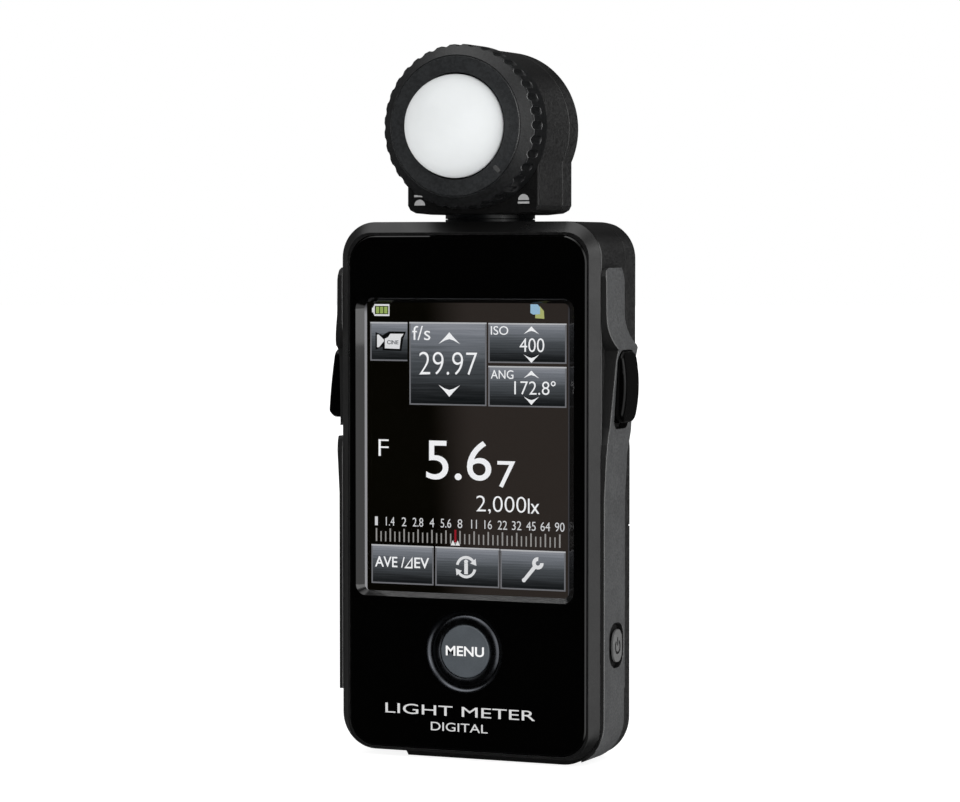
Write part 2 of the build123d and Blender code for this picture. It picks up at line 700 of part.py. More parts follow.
def battery_cell(z, x0):
    """AAA cell along X with its raised terminal at the end away from the spring."""
    terminal = 0.8
    nub_right = x0 > -22.5
    can_x = (x0, x0 + CELL_LENGTH - terminal) if nub_right else (x0 + terminal, x0 + CELL_LENGTH)
    can = rod(CELL_R, (can_x[0], CELL_Y, z), (can_x[1], CELL_Y, z))
    can = fillet(can.edges(), 0.4)
    nub_x = (can_x[1], x0 + CELL_LENGTH) if nub_right else (x0, can_x[0])
    return can + rod(1.9, (nub_x[0], CELL_Y, z), (nub_x[1], CELL_Y, z))


def battery_cell_lower():
    return battery_cell(CELL_LOWER_Z, -21.7)


def battery_cell_upper():
    return battery_cell(CELL_UPPER_Z, -24.05)


def battery_springs():
    """Two coil contacts, one at each cell's flat end."""
    coils = []
    for start_x, z in ((-24.0, CELL_LOWER_Z), (20.7, CELL_UPPER_Z)):
        path = Helix(pitch=0.72, height=2.0, radius=2.6, center=(start_x, CELL_Y, z), direction=(1, 0, 0))
        section = Plane(origin=path @ 0, z_dir=path % 0) * Circle(0.22)
        coils.append(sweep(section, path, is_frenet=True))
    return Compound(children=coils)


def battery_contacts():
    plates = []
    for x, z in ((22.82, CELL_LOWER_Z), (-24.27, CELL_UPPER_Z)):
        plates.append(box((x, x + 0.16), (CELL_Y - 3, CELL_Y + 3), (z - 3.5, z + 3.5)))
    return Compound(children=plates)


def battery_door():
    """Door over the cells, rounded at its lower edge about the hinge pin."""
    front = LOWER_BACK_Y - DOOR_THICKNESS
    hinge_y = LOWER_BACK_Y - DOOR_THICKNESS / 2
    x = (-DOOR_HALF_WIDTH, DOOR_HALF_WIDTH)
    door = box(x, (front, LOWER_BACK_Y), (HINGE_Z, DOOR_Z[1]))
    door += rod(DOOR_THICKNESS / 2, (x[0], hinge_y, HINGE_Z), (x[1], hinge_y, HINGE_Z))
    door -= rod(HINGE_PIN_R, (x[0] - 1, hinge_y, HINGE_Z), (x[1] + 1, hinge_y, HINGE_Z))
    door -= box((-5.6, 5.6), (front - 1, LOWER_BACK_Y - 0.8), (36.4, DOOR_Z[1] + 1))
    door -= box((-3.0, 3.0), (front - 1, LOWER_BACK_Y + 1), (37.9, 43.3))
    return door


def door_hinge_pin():
    hinge_y = LOWER_BACK_Y - DOOR_THICKNESS / 2
    reach = DOOR_HALF_WIDTH + 1.6
    return rod(HINGE_PIN_R, (-reach, hinge_y, HINGE_Z), (reach, hinge_y, HINGE_Z))


def door_latch():
    plate_back = LOWER_BACK_Y - 0.9
    knob_back = LOWER_BACK_Y + 0.4
    plate = box((-5.4, 5.4), (plate_back - 0.55, plate_back), (37.0, 45.7))
    knob = box((-2.8, 2.8), (plate_back, knob_back), (38.1, 41.3))
    for step in range(3):
        groove = (38.7 + step * 0.85, 39.0 + step * 0.85)
        knob -= box((-3, 3), (knob_back - 0.25, knob_back + 1), groove)
    return plate + knob


# Neck


def neck_ring():
    return tube(NECK_R, 5.4, (0, 0, CASE_TOP_Z), (0, 0, NECK_GAP_Z[0]))


def neck_bush():
    """Flanged bearing under the top wall, with the post that stops the swivel."""
    bush = tube(5.4, SHAFT_R + SHAFT_FIT, (0, 0, 98.8), (0, 0, NECK_GAP_Z[0]))
    bush += tube(6.4, SHAFT_R + SHAFT_FIT, (0, 0, 102.2), (0, 0, CASE_TOP_Z - CASE_LID))
    post = tube(6.4, 5.3, (0, 0, 97.7), (0, 0, 102.2)) & sector(225, 22, 97.7, 102.2)
    return bush + post


def sector(angle, half_angle, z0, z1):
    """A wedge about the swivel axis, centred on the angle in degrees."""
    reach = 20.0
    corners = [(0.0, 0.0)]
    for side in (-1, 0, 1):
        turn = radians(angle + side * half_angle)
        corners.append((reach * cos(turn), reach * sin(turn)))
    face = make_face(Polyline(*corners, close=True))
    return extrude(Plane.XY.offset(z0) * face, amount=z1 - z0)


def head_plate():
    """Round plate under the head that turns on the neck ring."""
    return tube(NECK_R, SHAFT_R, (0, 0, NECK_GAP_Z[1]), (0, 0, HEAD_BOTTOM_Z))


def swivel_shaft():
    top = HEAD_FLOOR_Z + 1.3
    shaft = rod(SHAFT_R, (0, 0, 96.0), (0, 0, top)) + rod(6.4, (0, 0, HEAD_FLOOR_Z), (0, 0, top))
    shaft -= rod(2.2, (0, 0, 95), (0, 0, 111))
    return shaft - tube(SHAFT_R + 1, 3.0, (0, 0, 96.7), (0, 0, 97.5))


def swivel_clip():
    return tube(5.0, 3.0, (0, 0, 96.75), (0, 0, 97.45))


def swivel_stop():
    """Washer keyed to the shaft, whose lug meets the bush's post at each end of the turn."""
    washer = tube(4.9, SHAFT_R, (0, 0, 97.7), (0, 0, 98.6))
    lug = tube(6.3, 4.8, (0, 0, 97.7), (0, 0, 98.6)) & sector(0, 20, 97.7, 98.6)
    return washer + lug


# Head


def head_outline():
    """Front view of the housing: a round top on a narrower square foot."""
    half = HEAD_FOOT_HALF_WIDTH
    bottom = HEAD_BOTTOM_Z
    round_top = Pos(0, HEAD_AXIS_Z) * Circle(HEAD_R)
    foot = make_face(
        Polyline(
            (-half, HEAD_AXIS_Z),
            (-half, bottom + 1.8),
            (-half + 0.5, bottom + 0.9),
            (-half + 1.7, bottom + 0.3),
            (-half + 5.0, bottom),
            (half - 5.0, bottom),
            (half - 1.7, bottom + 0.3),
            (half - 0.5, bottom + 0.9),
            (half, bottom + 1.8),
            (half, HEAD_AXIS_Z),
            close=True,
        )
    )
    return round_top + foot


def head_cavity():
    """Front view of the space inside the housing, with a flat floor for the shaft's flange."""
    half = HEAD_FOOT_HALF_WIDTH - HEAD_WALL
    foot = front_rectangle((-half, half), (HEAD_FLOOR_Z, HEAD_AXIS_Z), 0.5)
    return Pos(0, HEAD_AXIS_Z) * Circle(HEAD_R - HEAD_WALL) + foot


def head_front_shell():
    """Housing open at the back, with the bore for the ring's cam tube in its front wall."""
    shell = along_y(head_outline(), -HEAD_HALF_DEPTH, HEAD_SEAM_Y)
    shell = fillet(shell.faces().sort_by(Axis.Y)[0].edges(), 0.45)
    shell = chamfer(shell.faces().sort_by(Axis.Y)[-1].edges(), SEAM_CHAMFER)
    shell -= along_y(head_cavity(), -HEAD_HALF_DEPTH + 1.7, HEAD_SEAM_Y + 1)
    shell -= head_rod(CAM_TUBE_R[1] + 0.1, -HEAD_HALF_DEPTH - 1, 0)
    shell -= rod(SHAFT_R, (0, 0, 100), (0, 0, HEAD_FLOOR_Z + 1))
    for x, z in HEAD_SCREWS:
        post = rod(1.9, (x, -HEAD_HALF_DEPTH + 1.7, z), (x, HEAD_SEAM_Y, z))
        shell += post - rod(0.75, (x, -2, z), (x, HEAD_SEAM_Y + 1, z))
    return shell


def head_rear_cover():
    cover = along_y(head_outline(), HEAD_SEAM_Y, HEAD_HALF_DEPTH)
    cover = fillet(cover.faces().sort_by(Axis.Y)[-1].edges(), 0.9)
    cover = chamfer(cover.faces().sort_by(Axis.Y)[0].edges(), SEAM_CHAMFER)
    cover -= along_y(head_cavity(), HEAD_SEAM_Y - 1, HEAD_HALF_DEPTH - 1.5)
    cover -= rod(SHAFT_R, (0, 0, 100), (0, 0, HEAD_FLOOR_Z + 1))
    for x, z in HEAD_SCREWS:
        cover += rod(2.4, (x, HEAD_SEAM_Y, z), (x, HEAD_HALF_DEPTH - 1.4, z))
        cover -= rod(0.85, (x, HEAD_SEAM_Y - 1, z), (x, HEAD_HALF_DEPTH + 1, z))
        cover -= rod(1.6, (x, HEAD_HALF_DEPTH - 1.0, z), (x, HEAD_HALF_DEPTH + 1, z))
    return cover


def head_screws():
    screws = []
    for x, z in HEAD_SCREWS:
        head = rod(1.45, (x, HEAD_HALF_DEPTH - 0.95, z), (x, HEAD_HALF_DEPTH - 0.25, z))
        screws.append(head + rod(0.7, (x, -1.0, z), (x, HEAD_HALF_DEPTH - 0.95, z)))
    return Compound(children=screws)


def dome_guide():
    """Fixed tube whose straight slots let the dome's pins slide but not turn."""
    guide = head_tube(GUIDE_R[1], GUIDE_R[0], -15.9, 2.6)
    guide += head_tube(HEAD_R - HEAD_WALL, GUIDE_R[0], 1.6, 2.6) & box(
        (-20, 20), (-20, 20), (HEAD_AXIS_Z - 9.0, 200)
    )
    for angle in PIN_ANGLES:
        guide -= radial_slot(angle, PIN_Y, PIN_Y + DOME_TRAVEL, 0.0, 9.5, 11.5)
    return guide


def radial_slot(angle, y0, y1, turn, inner, outer):
    """A cut through a tube wall from y0 to y1 while the angle grows by turn degrees.

    Angles are about the head's axis, from +X towards +Z. A slot that turns is a chain of
    short straight slots, because it is straight on the unrolled wall.
    """
    steps = max(1, round(turn / 12))
    mean_r = sum(CAM_TUBE_R) / 2
    cut = None
    for step in range(steps):
        middle = radians(angle + turn * (step + 0.5) / steps)
        arc = radians(turn / steps) * mean_r
        rise = (y1 - y0) / steps
        y = y0 + rise * (step + 0.5)
        outward = Vector(cos(middle), 0, sin(middle))
        along = Vector(-sin(middle), 0, cos(middle))
        origin = Vector(0, y, HEAD_AXIS_Z) + outward * inner
        face = Plane(origin=origin, x_dir=along, z_dir=outward)
        lean = degrees(atan2(-rise, arc))
        slot = Rot(0, 0, lean) * SlotCenterToCenter(hypot(rise, arc), 2 * PIN_R + 0.2)
        piece = extrude(face * slot, amount=outer - inner)
        cut = piece if cut is None else cut + piece
    return cut


def retraction_ring():
    """Knurled ring and its cam tube; the tube's slanted slots drive the dome's pins."""
    ring = turned(
        [
            (RING_BORE_R, RING_FACE_Y),
            (RING_FACE_R - 0.3, RING_FACE_Y),
            (RING_FACE_R - 0.15, RING_FACE_Y + 0.18),
            (RING_FACE_R, RING_FACE_Y + 0.05),
            (RING_R - 0.25, RING_EDGE_Y - 0.15),
            (RING_R, RING_EDGE_Y + 0.15),
            (RING_R, RING_BACK_Y),
            (CAM_TUBE_R[1], RING_BACK_Y),
            (CAM_TUBE_R[1], 1.0),
            (CAM_TUBE_R[0], 1.0),
            (CAM_TUBE_R[0], -16.1),
            (RING_BORE_R, -16.1),
        ]
    )
    for index in range(KNURLS):
        turn = radians(360 * index / KNURLS)
        x = KNURL_CENTRE_R * cos(turn)
        z = HEAD_AXIS_Z + KNURL_CENTRE_R * sin(turn)
        flute = rod(KNURL_CUT_R, (x, RING_FACE_Y - 1, z), (x, KNURL_END_Y, z))
        ring -= flute + Pos(x, KNURL_END_Y, z) * Sphere(KNURL_CUT_R)
    ring -= head_tube(CAM_TUBE_R[1] + 1, 11.7, -6.95, -6.05)
    for angle in PIN_ANGLES:
        ring -= radial_slot(angle, PIN_Y, PIN_Y + DOME_TRAVEL, RING_TURN, 10.4, 12.6)
    return ring


def ring_clip():
    """Split clip in the cam tube's groove, behind the housing's front wall."""
    clip = head_tube(13.2, 11.7, -6.9, -6.1)
    return clip - box((-1.2, 1.2), (-8, -5), (HEAD_AXIS_Z - 14, HEAD_AXIS_Z))


def dome():
    """Translucent hemisphere with a spigot that fits the carrier."""
    ball = Pos(0, DOME_CENTRE_Y, HEAD_AXIS_Z) * Sphere(DOME_R)
    hollow = Pos(0, DOME_CENTRE_Y, HEAD_AXIS_Z) * Sphere(DOME_R - DOME_WALL)
    front = box((-20, 20), (DOME_CENTRE_Y - 20, DOME_CENTRE_Y), (HEAD_AXIS_Z - 20, 160))
    spigot = head_tube(9.2, 8.5, DOME_CENTRE_Y - 1.2, DOME_CENTRE_Y + 1.6)
    return ((ball - hollow) & front) + spigot


def dome_carrier():
    carrier = head_tube(DOME_R, 8.6, DOME_CENTRE_Y, PIN_Y + 1.5)
    carrier -= head_rod(9.25, DOME_CENTRE_Y - 1, DOME_CENTRE_Y + 1.65)
    for angle in PIN_ANGLES:
        carrier -= pin(angle)
    return carrier


def pin(angle):
    turn = radians(angle)
    inner, outer = [
        (r * cos(turn), PIN_Y, HEAD_AXIS_Z + r * sin(turn)) for r in PIN_ENDS_R
    ]
    return rod(PIN_R, inner, outer)


def guide_pins():
    return Compound(children=[pin(angle) for angle in PIN_ANGLES])


def sensor_board():
    disc = head_rod(12.6, 3.4, 4.4) & box((-20, 20), (0, 9), (HEAD_AXIS_Z - 9.0, 160))
    return disc


def photodiode():
    return head_rod(4.1, 1.8, 3.4)


def sensor_filter():
    return head_rod(4.1, 1.0, 1.8)


def sensor_cable():
    """Lead from the back of the sensor board down the hollow shaft."""
    lead_r = 0.7
    bend_z = 111.6
    behind_y = 5.15
    lead = rod(lead_r, (0, 0, 94.6), (0, 0, bend_z))
    lead += Pos(0, 0, bend_z) * Sphere(lead_r)
    lead += rod(lead_r, (0, 0, bend_z), (0, behind_y, bend_z))
    lead += Pos(0, behind_y, bend_z) * Sphere(lead_r)
    lead += rod(lead_r, (0, behind_y, bend_z), (0, behind_y, 118.0))
    return lead + rod(2.0, (0, 0, 94.6), (0, 0, 95.8))


NODES = {
    "front_bezel": front_bezel,
    "front_panel": front_panel,
    "touch_glass": touch_glass,
    "lcd_module": lcd_module,
    "lcd_frame": lcd_frame,
    "menu_ring": menu_ring,
    "menu_button": menu_button,
    "key_board": key_board,
    "menu_switch": menu_switch,
    "rear_case": rear_case,
    "case_screws": case_screws,
    "side_grip_right": side_grip_right,
    "side_grip_left": side_grip_left,
    "terminal_cover": terminal_cover,
    "measure_button": measure_button,
    "memory_button": memory_button,
    "side_switches": side_switches,
    "power_button": power_button,
    "power_switch": power_switch,
    "main_board": main_board,
    "board_screws": board_screws,
    "shield_can": shield_can,
    "usb_socket": usb_socket,
    "sync_socket": sync_socket,
    "tripod_bush": tripod_bush,
    "strap_bar": strap_bar,
    "battery_tray": battery_tray,
    "battery_cell_lower": battery_cell_lower,
    "battery_cell_upper": battery_cell_upper,
    "battery_springs": battery_springs,
    "battery_contacts": battery_contacts,
    "battery_door": battery_door,
    "door_hinge_pin": door_hinge_pin,
    "door_latch": door_latch,
    "neck_ring": neck_ring,
    "neck_bush": neck_bush,
    "head_plate": head_plate,
    "swivel_shaft": swivel_shaft,
    "swivel_clip": swivel_clip,
    "swivel_stop": swivel_stop,
    "head_front_shell": head_front_shell,
    "head_rear_cover": head_rear_cover,
    "head_screws": head_screws,
    "dome_guide": dome_guide,
    "retraction_ring": retraction_ring,
    "ring_clip": ring_clip,
    "dome": dome,
    "dome_carrier": dome_carrier,
    "guide_pins": guide_pins,
    "sensor_board": sensor_board,
    "photodiode": photodiode,
    "sensor_filter": sensor_filter,
    "sensor_cable": sensor_cable,
}

os.makedirs("parts", exist_ok=True)
for name, make in NODES.items():
    export_step(make(), f"parts/{name}.step")
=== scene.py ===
"""Hand-held light meter with a touch screen: finishes, printed marks, screen image, studio."""

import math

import bmesh
import bpy
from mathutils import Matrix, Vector


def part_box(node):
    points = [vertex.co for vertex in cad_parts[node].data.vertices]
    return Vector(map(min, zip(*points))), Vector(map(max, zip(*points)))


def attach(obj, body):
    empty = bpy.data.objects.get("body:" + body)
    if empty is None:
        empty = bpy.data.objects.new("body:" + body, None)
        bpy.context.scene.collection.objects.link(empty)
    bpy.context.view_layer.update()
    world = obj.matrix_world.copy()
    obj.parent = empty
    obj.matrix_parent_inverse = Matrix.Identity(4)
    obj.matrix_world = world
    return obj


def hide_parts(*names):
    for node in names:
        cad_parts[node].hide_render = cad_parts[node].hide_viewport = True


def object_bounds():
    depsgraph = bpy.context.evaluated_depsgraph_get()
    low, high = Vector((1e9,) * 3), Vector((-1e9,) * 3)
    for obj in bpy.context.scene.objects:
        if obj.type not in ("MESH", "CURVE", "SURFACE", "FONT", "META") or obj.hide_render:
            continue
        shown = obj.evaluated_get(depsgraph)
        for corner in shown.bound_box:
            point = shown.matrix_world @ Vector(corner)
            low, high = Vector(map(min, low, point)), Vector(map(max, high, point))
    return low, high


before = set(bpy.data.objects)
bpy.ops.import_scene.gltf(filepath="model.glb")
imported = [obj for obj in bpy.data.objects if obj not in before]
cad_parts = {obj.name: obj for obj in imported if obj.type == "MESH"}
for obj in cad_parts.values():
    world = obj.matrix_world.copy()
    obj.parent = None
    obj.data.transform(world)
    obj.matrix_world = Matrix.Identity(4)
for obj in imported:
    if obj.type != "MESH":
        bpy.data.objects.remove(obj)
CAD_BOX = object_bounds()

MM = 0.001
ACROSS = Vector((1, 0, 0))
BACKWARD = Vector((0, 1, 0))
UP = Vector((0, 0, 1))

# ---------------------------------------------------------------- nodes and objects


def feed(tree, socket, value):
    """Links a socket to another node's output, or sets it to a plain value."""
    if isinstance(value, bpy.types.NodeSocket):
        tree.links.new(value, socket)
    else:
        socket.default_value = value


def add_node(tree, kind, inputs=None, **settings):
    """A node with its settings made and its inputs fed."""
    made = tree.nodes.new(kind)
    for key, value in settings.items():
        setattr(made, key, value)
    for key, value in (inputs or {}).items():
        feed(tree, made.inputs[key], value)
    return made


def add_object(name, data):
    """An object in the scene that shows that mesh, curve, lamp or camera."""
    made = bpy.data.objects.new(name, data)
    bpy.context.scene.collection.objects.link(made)
    return made


def add_mesh(name, mesh, finish):
    """An object from an edited mesh, which is freed, in one finish."""
    data = bpy.data.meshes.new(name)
    mesh.to_mesh(data)
    mesh.free()
    data.materials.append(finish.material)
    return add_object(name, data)


# ---------------------------------------------------------------- materials

# The direction toward the light, to the right and forward: edges turned this way get a painted highlight.
HIGHLIGHT_SIDE = Vector((0.80, -0.60, 0.05)).normalized()
BEZEL_SIDE_Y = -10.2
# Between the two battery cells in height, and where each one's copper band starts.
CELL_MIDDLE_Z = 25.6
LOWER_BAND_X = 8.1
UPPER_BAND_X = -9.3
BAND_BLUR = 0.1
COPPER_PRINT = (0.55, 0.30, 0.10, 1)
TRACK_SCALE = 320.0


def linear(shade):
    """A display colour from 0 to 255 per channel as linear light."""
    def channel(c):
        c = c / 255
        return c / 12.92 if c <= 0.04045 else ((c + 0.055) / 1.055) ** 2.4
    return tuple(channel(c) for c in shade) + (1.0,)


def grey(level, warmth=0.0):
    """A linear grey of that albedo, with red raised and blue lowered by warmth."""
    return (level * (1 + warmth), level, level * (1 - warmth), 1.0)


class Finish:
    """A material on one Principled shader, with the nodes that vary it over the surface."""

    def __init__(self, name, colour, roughness, **sockets):
        self.material = bpy.data.materials.new(name)
        self.material.use_nodes = True
        self.tree = self.material.node_tree
        self.shader = self.tree.nodes["Principled BSDF"]
        self.colour = colour
        self.roughness = roughness
        self.set("Base Color", colour)
        self.set("Roughness", roughness)
        for socket, value in sockets.items():
            self.set(socket.replace("_", " "), value)
        self.place = self.node("ShaderNodeTexCoord").outputs["Object"]
        self.normal = None
        self.rounded = None

    def set(self, socket, value):
        feed(self.tree, self.shader.inputs[socket], value)

    def current(self, socket):
        """What feeds one of the shader's inputs now: another node's output, or its plain value."""
        fed = self.shader.inputs[socket]
        return fed.links[0].from_socket if fed.links else fed.default_value

    def node(self, kind, inputs=None, **settings):
        return add_node(self.tree, kind, inputs, **settings)

    def noise(self, size_mm, detail=2.0, roughness=0.5, stretch=(1, 1, 1), seed=0.0):
        """A noise value from 0 to 1 whose blotches are about size_mm across."""
        mapped = self.node(
            "ShaderNodeMapping",
            {"Vector": self.place, "Scale": stretch, "Location": (seed, seed * 0.7, seed * 1.3)},
        )
        found = self.node(
            "ShaderNodeTexNoise",
            {"Vector": mapped.outputs[0], "Scale": 1 / (size_mm * MM), "Detail": detail,
             "Roughness": roughness},
        )
        return found.outputs["Fac"]

    def cells(self, size_mm):
        """Distance to the nearest of the points scattered about size_mm apart."""
        found = self.node("ShaderNodeTexVoronoi", {"Vector": self.place, "Scale": 1 / (size_mm * MM)})
        return found.outputs["Distance"]

    def ramp(self, value, low, high, out_low=0.0, out_high=1.0):
        """A smooth step of value, which may run either way, held at its ends."""
        found = self.node(
            "ShaderNodeMapRange",
            {"Value": value, "From Min": low, "From Max": high, "To Min": out_low,
             "To Max": out_high},
            clamp=True, interpolation_type="SMOOTHSTEP",
        )
        return found.outputs["Result"]

    def math(self, operation, a, b):
        return self.node("ShaderNodeMath", {0: a, 1: b}, operation=operation).outputs[0]

    def dot(self, a, b):
        found = self.node("ShaderNodeVectorMath", {0: a, 1: b}, operation="DOT_PRODUCT")
        return found.outputs["Value"]

    def scaled(self, colour, factor):
        """A plain colour times a factor."""
        found = self.node("ShaderNodeVectorMath", {0: colour[:3], "Scale": factor}, operation="SCALE")
        return found.outputs[0]

    def split(self, vector):
        """The outputs X, Y and Z of a vector."""
        return self.node("ShaderNodeSeparateXYZ", {0: vector}).outputs

    def facing(self):
        """The outputs X, Y and Z of the direction that a face points."""
        return self.split(self.node("ShaderNodeTexCoord").outputs["Normal"])

    def mix(self, share, first, second):
        """A blend of two colours. The node's sockets 6, 7 and output 2 are its colour ones."""
        return self.node("ShaderNodeMix", {0: share, 6: first, 7: second}, data_type="RGBA").outputs[2]

    def paint(self, share, colour):
        """Lays a colour over the base by that share."""
        self.set("Base Color", self.mix(share, self.current("Base Color"), colour))
        return self

    def bump(self, height, depth_mm):
        """Adds relief of that depth. Reliefs stack."""
        inputs = {"Height": height, "Distance": depth_mm * MM}
        if self.normal is not None:
            inputs["Normal"] = self.normal
        self.normal = self.node("ShaderNodeBump", inputs).outputs[0]
        self.set("Normal", self.normal)
        return self

    def soften_edges(self, radius_mm=0.12):
        """Rounds hard edges in the shading, as a moulding tool leaves them."""
        self.rounded = self.node("ShaderNodeBevel", {"Radius": radius_mm * MM}, samples=4).outputs[0]
        self.normal = self.rounded
        self.set("Normal", self.normal)
        return self

    def wear(self, colour, amount=0.5, polish=0.1):
        """Lighter, smoother edges, broken up by noise, where handling has rubbed them."""
        flat = self.node("ShaderNodeNewGeometry").outputs["Normal"]
        edge = self.ramp(self.dot(flat, self.rounded), 0.985, 0.86, 0.0, amount)
        broken = self.math("MULTIPLY", edge, self.ramp(self.noise(1.6, 3.0, seed=4.0), 0.35, 0.62))
        self.paint(broken, colour)
        polished = self.math("MULTIPLY", broken, polish)
        self.set("Roughness", self.math("SUBTRACT", self.current("Roughness"), polished))
        return self

    def painted_edge_highlight(self, level, radius_mm=0.25, amount=0.85, sharp=0.87):
        """A painted highlight: a pale line along the sharp edges that point forward and to the right,
        toward the light.
        """
        flat = self.node("ShaderNodeNewGeometry").outputs["Normal"]
        wide = self.node("ShaderNodeBevel", {"Radius": radius_mm * MM}, samples=6).outputs[0]
        edge = self.ramp(self.dot(flat, wide), 1 - (1 - sharp) / 6, sharp, 0.0, amount)
        turned = self.ramp(self.dot(wide, HIGHLIGHT_SIDE), 0.84, 0.95)
        return self.paint(self.math("MULTIPLY", edge, turned), grey(level))

    def mottle(self, size_mm, amount, speckle_mm=0.0, speckle=0.0):
        """Soft colour variation of the given share, with an optional finer speckle over it."""
        share = self.noise(size_mm, 4.0, 0.6, seed=1.0)
        factor = self.ramp(share, 0.3, 0.7, 1 - amount, 1 + amount)
        if speckle:
            fine = self.noise(speckle_mm, 2.0, 0.7, seed=4.0)
            factor = self.math("MULTIPLY", factor, self.ramp(fine, 0.38, 0.62, 1 - speckle, 1 + speckle))
        self.set("Base Color", self.scaled(self.colour, factor))
        return self

    def smudge(self, size_mm, amount):
        """Roughness that drifts by amount either way, as from handling."""
        share = self.noise(size_mm, 5.0, 0.65, seed=2.0)
        rough = self.ramp(share, 0.32, 0.68, self.roughness - amount, self.roughness + amount)
        self.set("Roughness", rough)
        return self

    def grain(self, size_mm, depth_mm):
        """The spark-eroded grain of a moulded case: fine pits over softer lumps."""
        self.bump(self.noise(size_mm, 3.0, 0.6), depth_mm)
        self.bump(self.cells(size_mm * 0.8), depth_mm * 0.6)
        return self


def moulded(name, level, roughness, grain_mm, depth_mm, speckle=0.15, edge=0.03, warmth=0.0, shine=0.5):
    """Moulded black plastic with grain, drifting sheen and rubbed edges."""
    made = Finish(name, grey(level, warmth), roughness, Specular_IOR_Level=shine)
    made.soften_edges()
    made.mottle(6.0, 0.08, grain_mm * 1.3, speckle)
    made.smudge(9.0, 0.05)
    made.wear(grey(level + edge, warmth), 0.55)
    made.grain(grain_mm, depth_mm)
    return made


def painted_shade_on_faces(made, level, forward=True):
    """Painted shade: darker plastic on faces turned up, and forward where asked, that get less light."""
    turned = made.facing()
    share = made.ramp(turned["Z"], 0.35, 0.7)
    if forward:
        share = made.math("MAXIMUM", share, made.ramp(turned["Y"], -0.25, -0.6))
    return made.paint(share, grey(level))


def painted_side_highlight(made, level):
    """Painted highlight: the bezel's narrow upright side on the right, paler than its sloping face."""
    side = made.ramp(made.facing()["X"], 0.86, 0.97)
    depth = made.ramp(made.split(made.place)["Y"], (BEZEL_SIDE_Y - 0.1) * MM, (BEZEL_SIDE_Y + 0.1) * MM)
    return made.paint(made.math("MULTIPLY", side, depth), grey(level))


def front_face_painted_light(made, level):
    """Painted light: the face turned straight forward is paler, with a finer speckle, than the flanks
    beside it.
    """
    share = made.ramp(made.facing()["Y"], -0.93, -0.985)
    fine = made.ramp(made.noise(0.5, 2.0, 0.7, seed=5.0), 0.38, 0.62, 0.75, 1.25)
    return made.paint(share, made.scaled(grey(level, -0.08), fine))


def metal(name, colour, roughness, brushing=(1, 1, 1)):
    """Plated or brushed metal with fine lines and a few dull patches."""
    made = Finish(name, colour, roughness, Metallic=1.0)
    made.soften_edges(0.06).mottle(3.0, 0.12).smudge(4.0, 0.08)
    return made.bump(made.noise(0.25, 3.0, 0.6, stretch=brushing), 0.006)


def circuit_finish():
    """Green solder mask over copper tracks, with gold pads."""
    made = Finish("circuit_board", (0.012, 0.10, 0.045, 1), 0.38)
    made.mottle(5.0, 0.15)
    tracks = made.node(
        "ShaderNodeTexBrick",
        {"Vector": made.place, "Scale": TRACK_SCALE, "Mortar Size": 0.018, "Color1": grey(0.0),
         "Color2": grey(0.0), "Mortar": grey(1.0)},
    ).outputs["Fac"]
    made.paint(tracks, (0.03, 0.21, 0.08, 1))
    made.paint(made.ramp(made.cells(2.6), 0.13, 0.10), (0.75, 0.56, 0.22, 1))
    return made.bump(tracks, 0.03)


def cell_finish():
    """A steel cell's printed sleeve: dark, with a copper band at the end of the raised terminal.

    The two cells lie opposite ways round: the lower one's terminal points right, the upper one's left.
    """
    made = Finish("cell_can", grey(0.045), 0.32, Coat_Weight=0.6, Coat_Roughness=0.15)
    place = made.split(made.place)

    def beyond(axis, edge, side):
        return made.ramp(place[axis], (edge - side * BAND_BLUR) * MM, (edge + side * BAND_BLUR) * MM)

    upper = beyond("Z", CELL_MIDDLE_Z, 1)
    upper_band = made.math("MULTIPLY", upper, beyond("X", UPPER_BAND_X, -1))
    lower = made.math("SUBTRACT", 1.0, upper)
    lower_band = made.math("MULTIPLY", lower, beyond("X", LOWER_BAND_X, 1))
    made.paint(made.math("ADD", upper_band, lower_band), COPPER_PRINT)
    return made.smudge(6.0, 0.06).bump(made.noise(0.8, 2.0), 0.01)


def dome_finish():
    """Opal diffuser: milky, slightly soft inside, with a fine satin skin."""
    made = Finish(
        "dome_diffuser", (0.72, 0.74, 0.745, 1), 0.42, Subsurface_Weight=0.55,
        Subsurface_Radius=(1.0, 1.0, 1.0), Subsurface_Scale=1.6 * MM, Specular_IOR_Level=0.4,
    )
    return made.mottle(5.0, 0.012).smudge(5.0, 0.05).bump(made.noise(0.12, 2.0), 0.004)


def smoked_finish():
    """Dark plated plastic, glossier than the panel it sits in."""
    made = Finish("smoked_plating", (0.085, 0.09, 0.10, 1), 0.27, Metallic=1.0)
    return made.mottle(3.0, 0.06).smudge(2.0, 0.05).bump(made.noise(1.5, 2.0), 0.002)


def ink(name, level, roughness, patches=0.06):
    """Printing ink with a slightly uneven skin."""
    made = Finish(name, grey(level), roughness)
    return made.mottle(1.5, patches).smudge(2.0, 0.06).bump(made.noise(0.15, 2.0), 0.004)


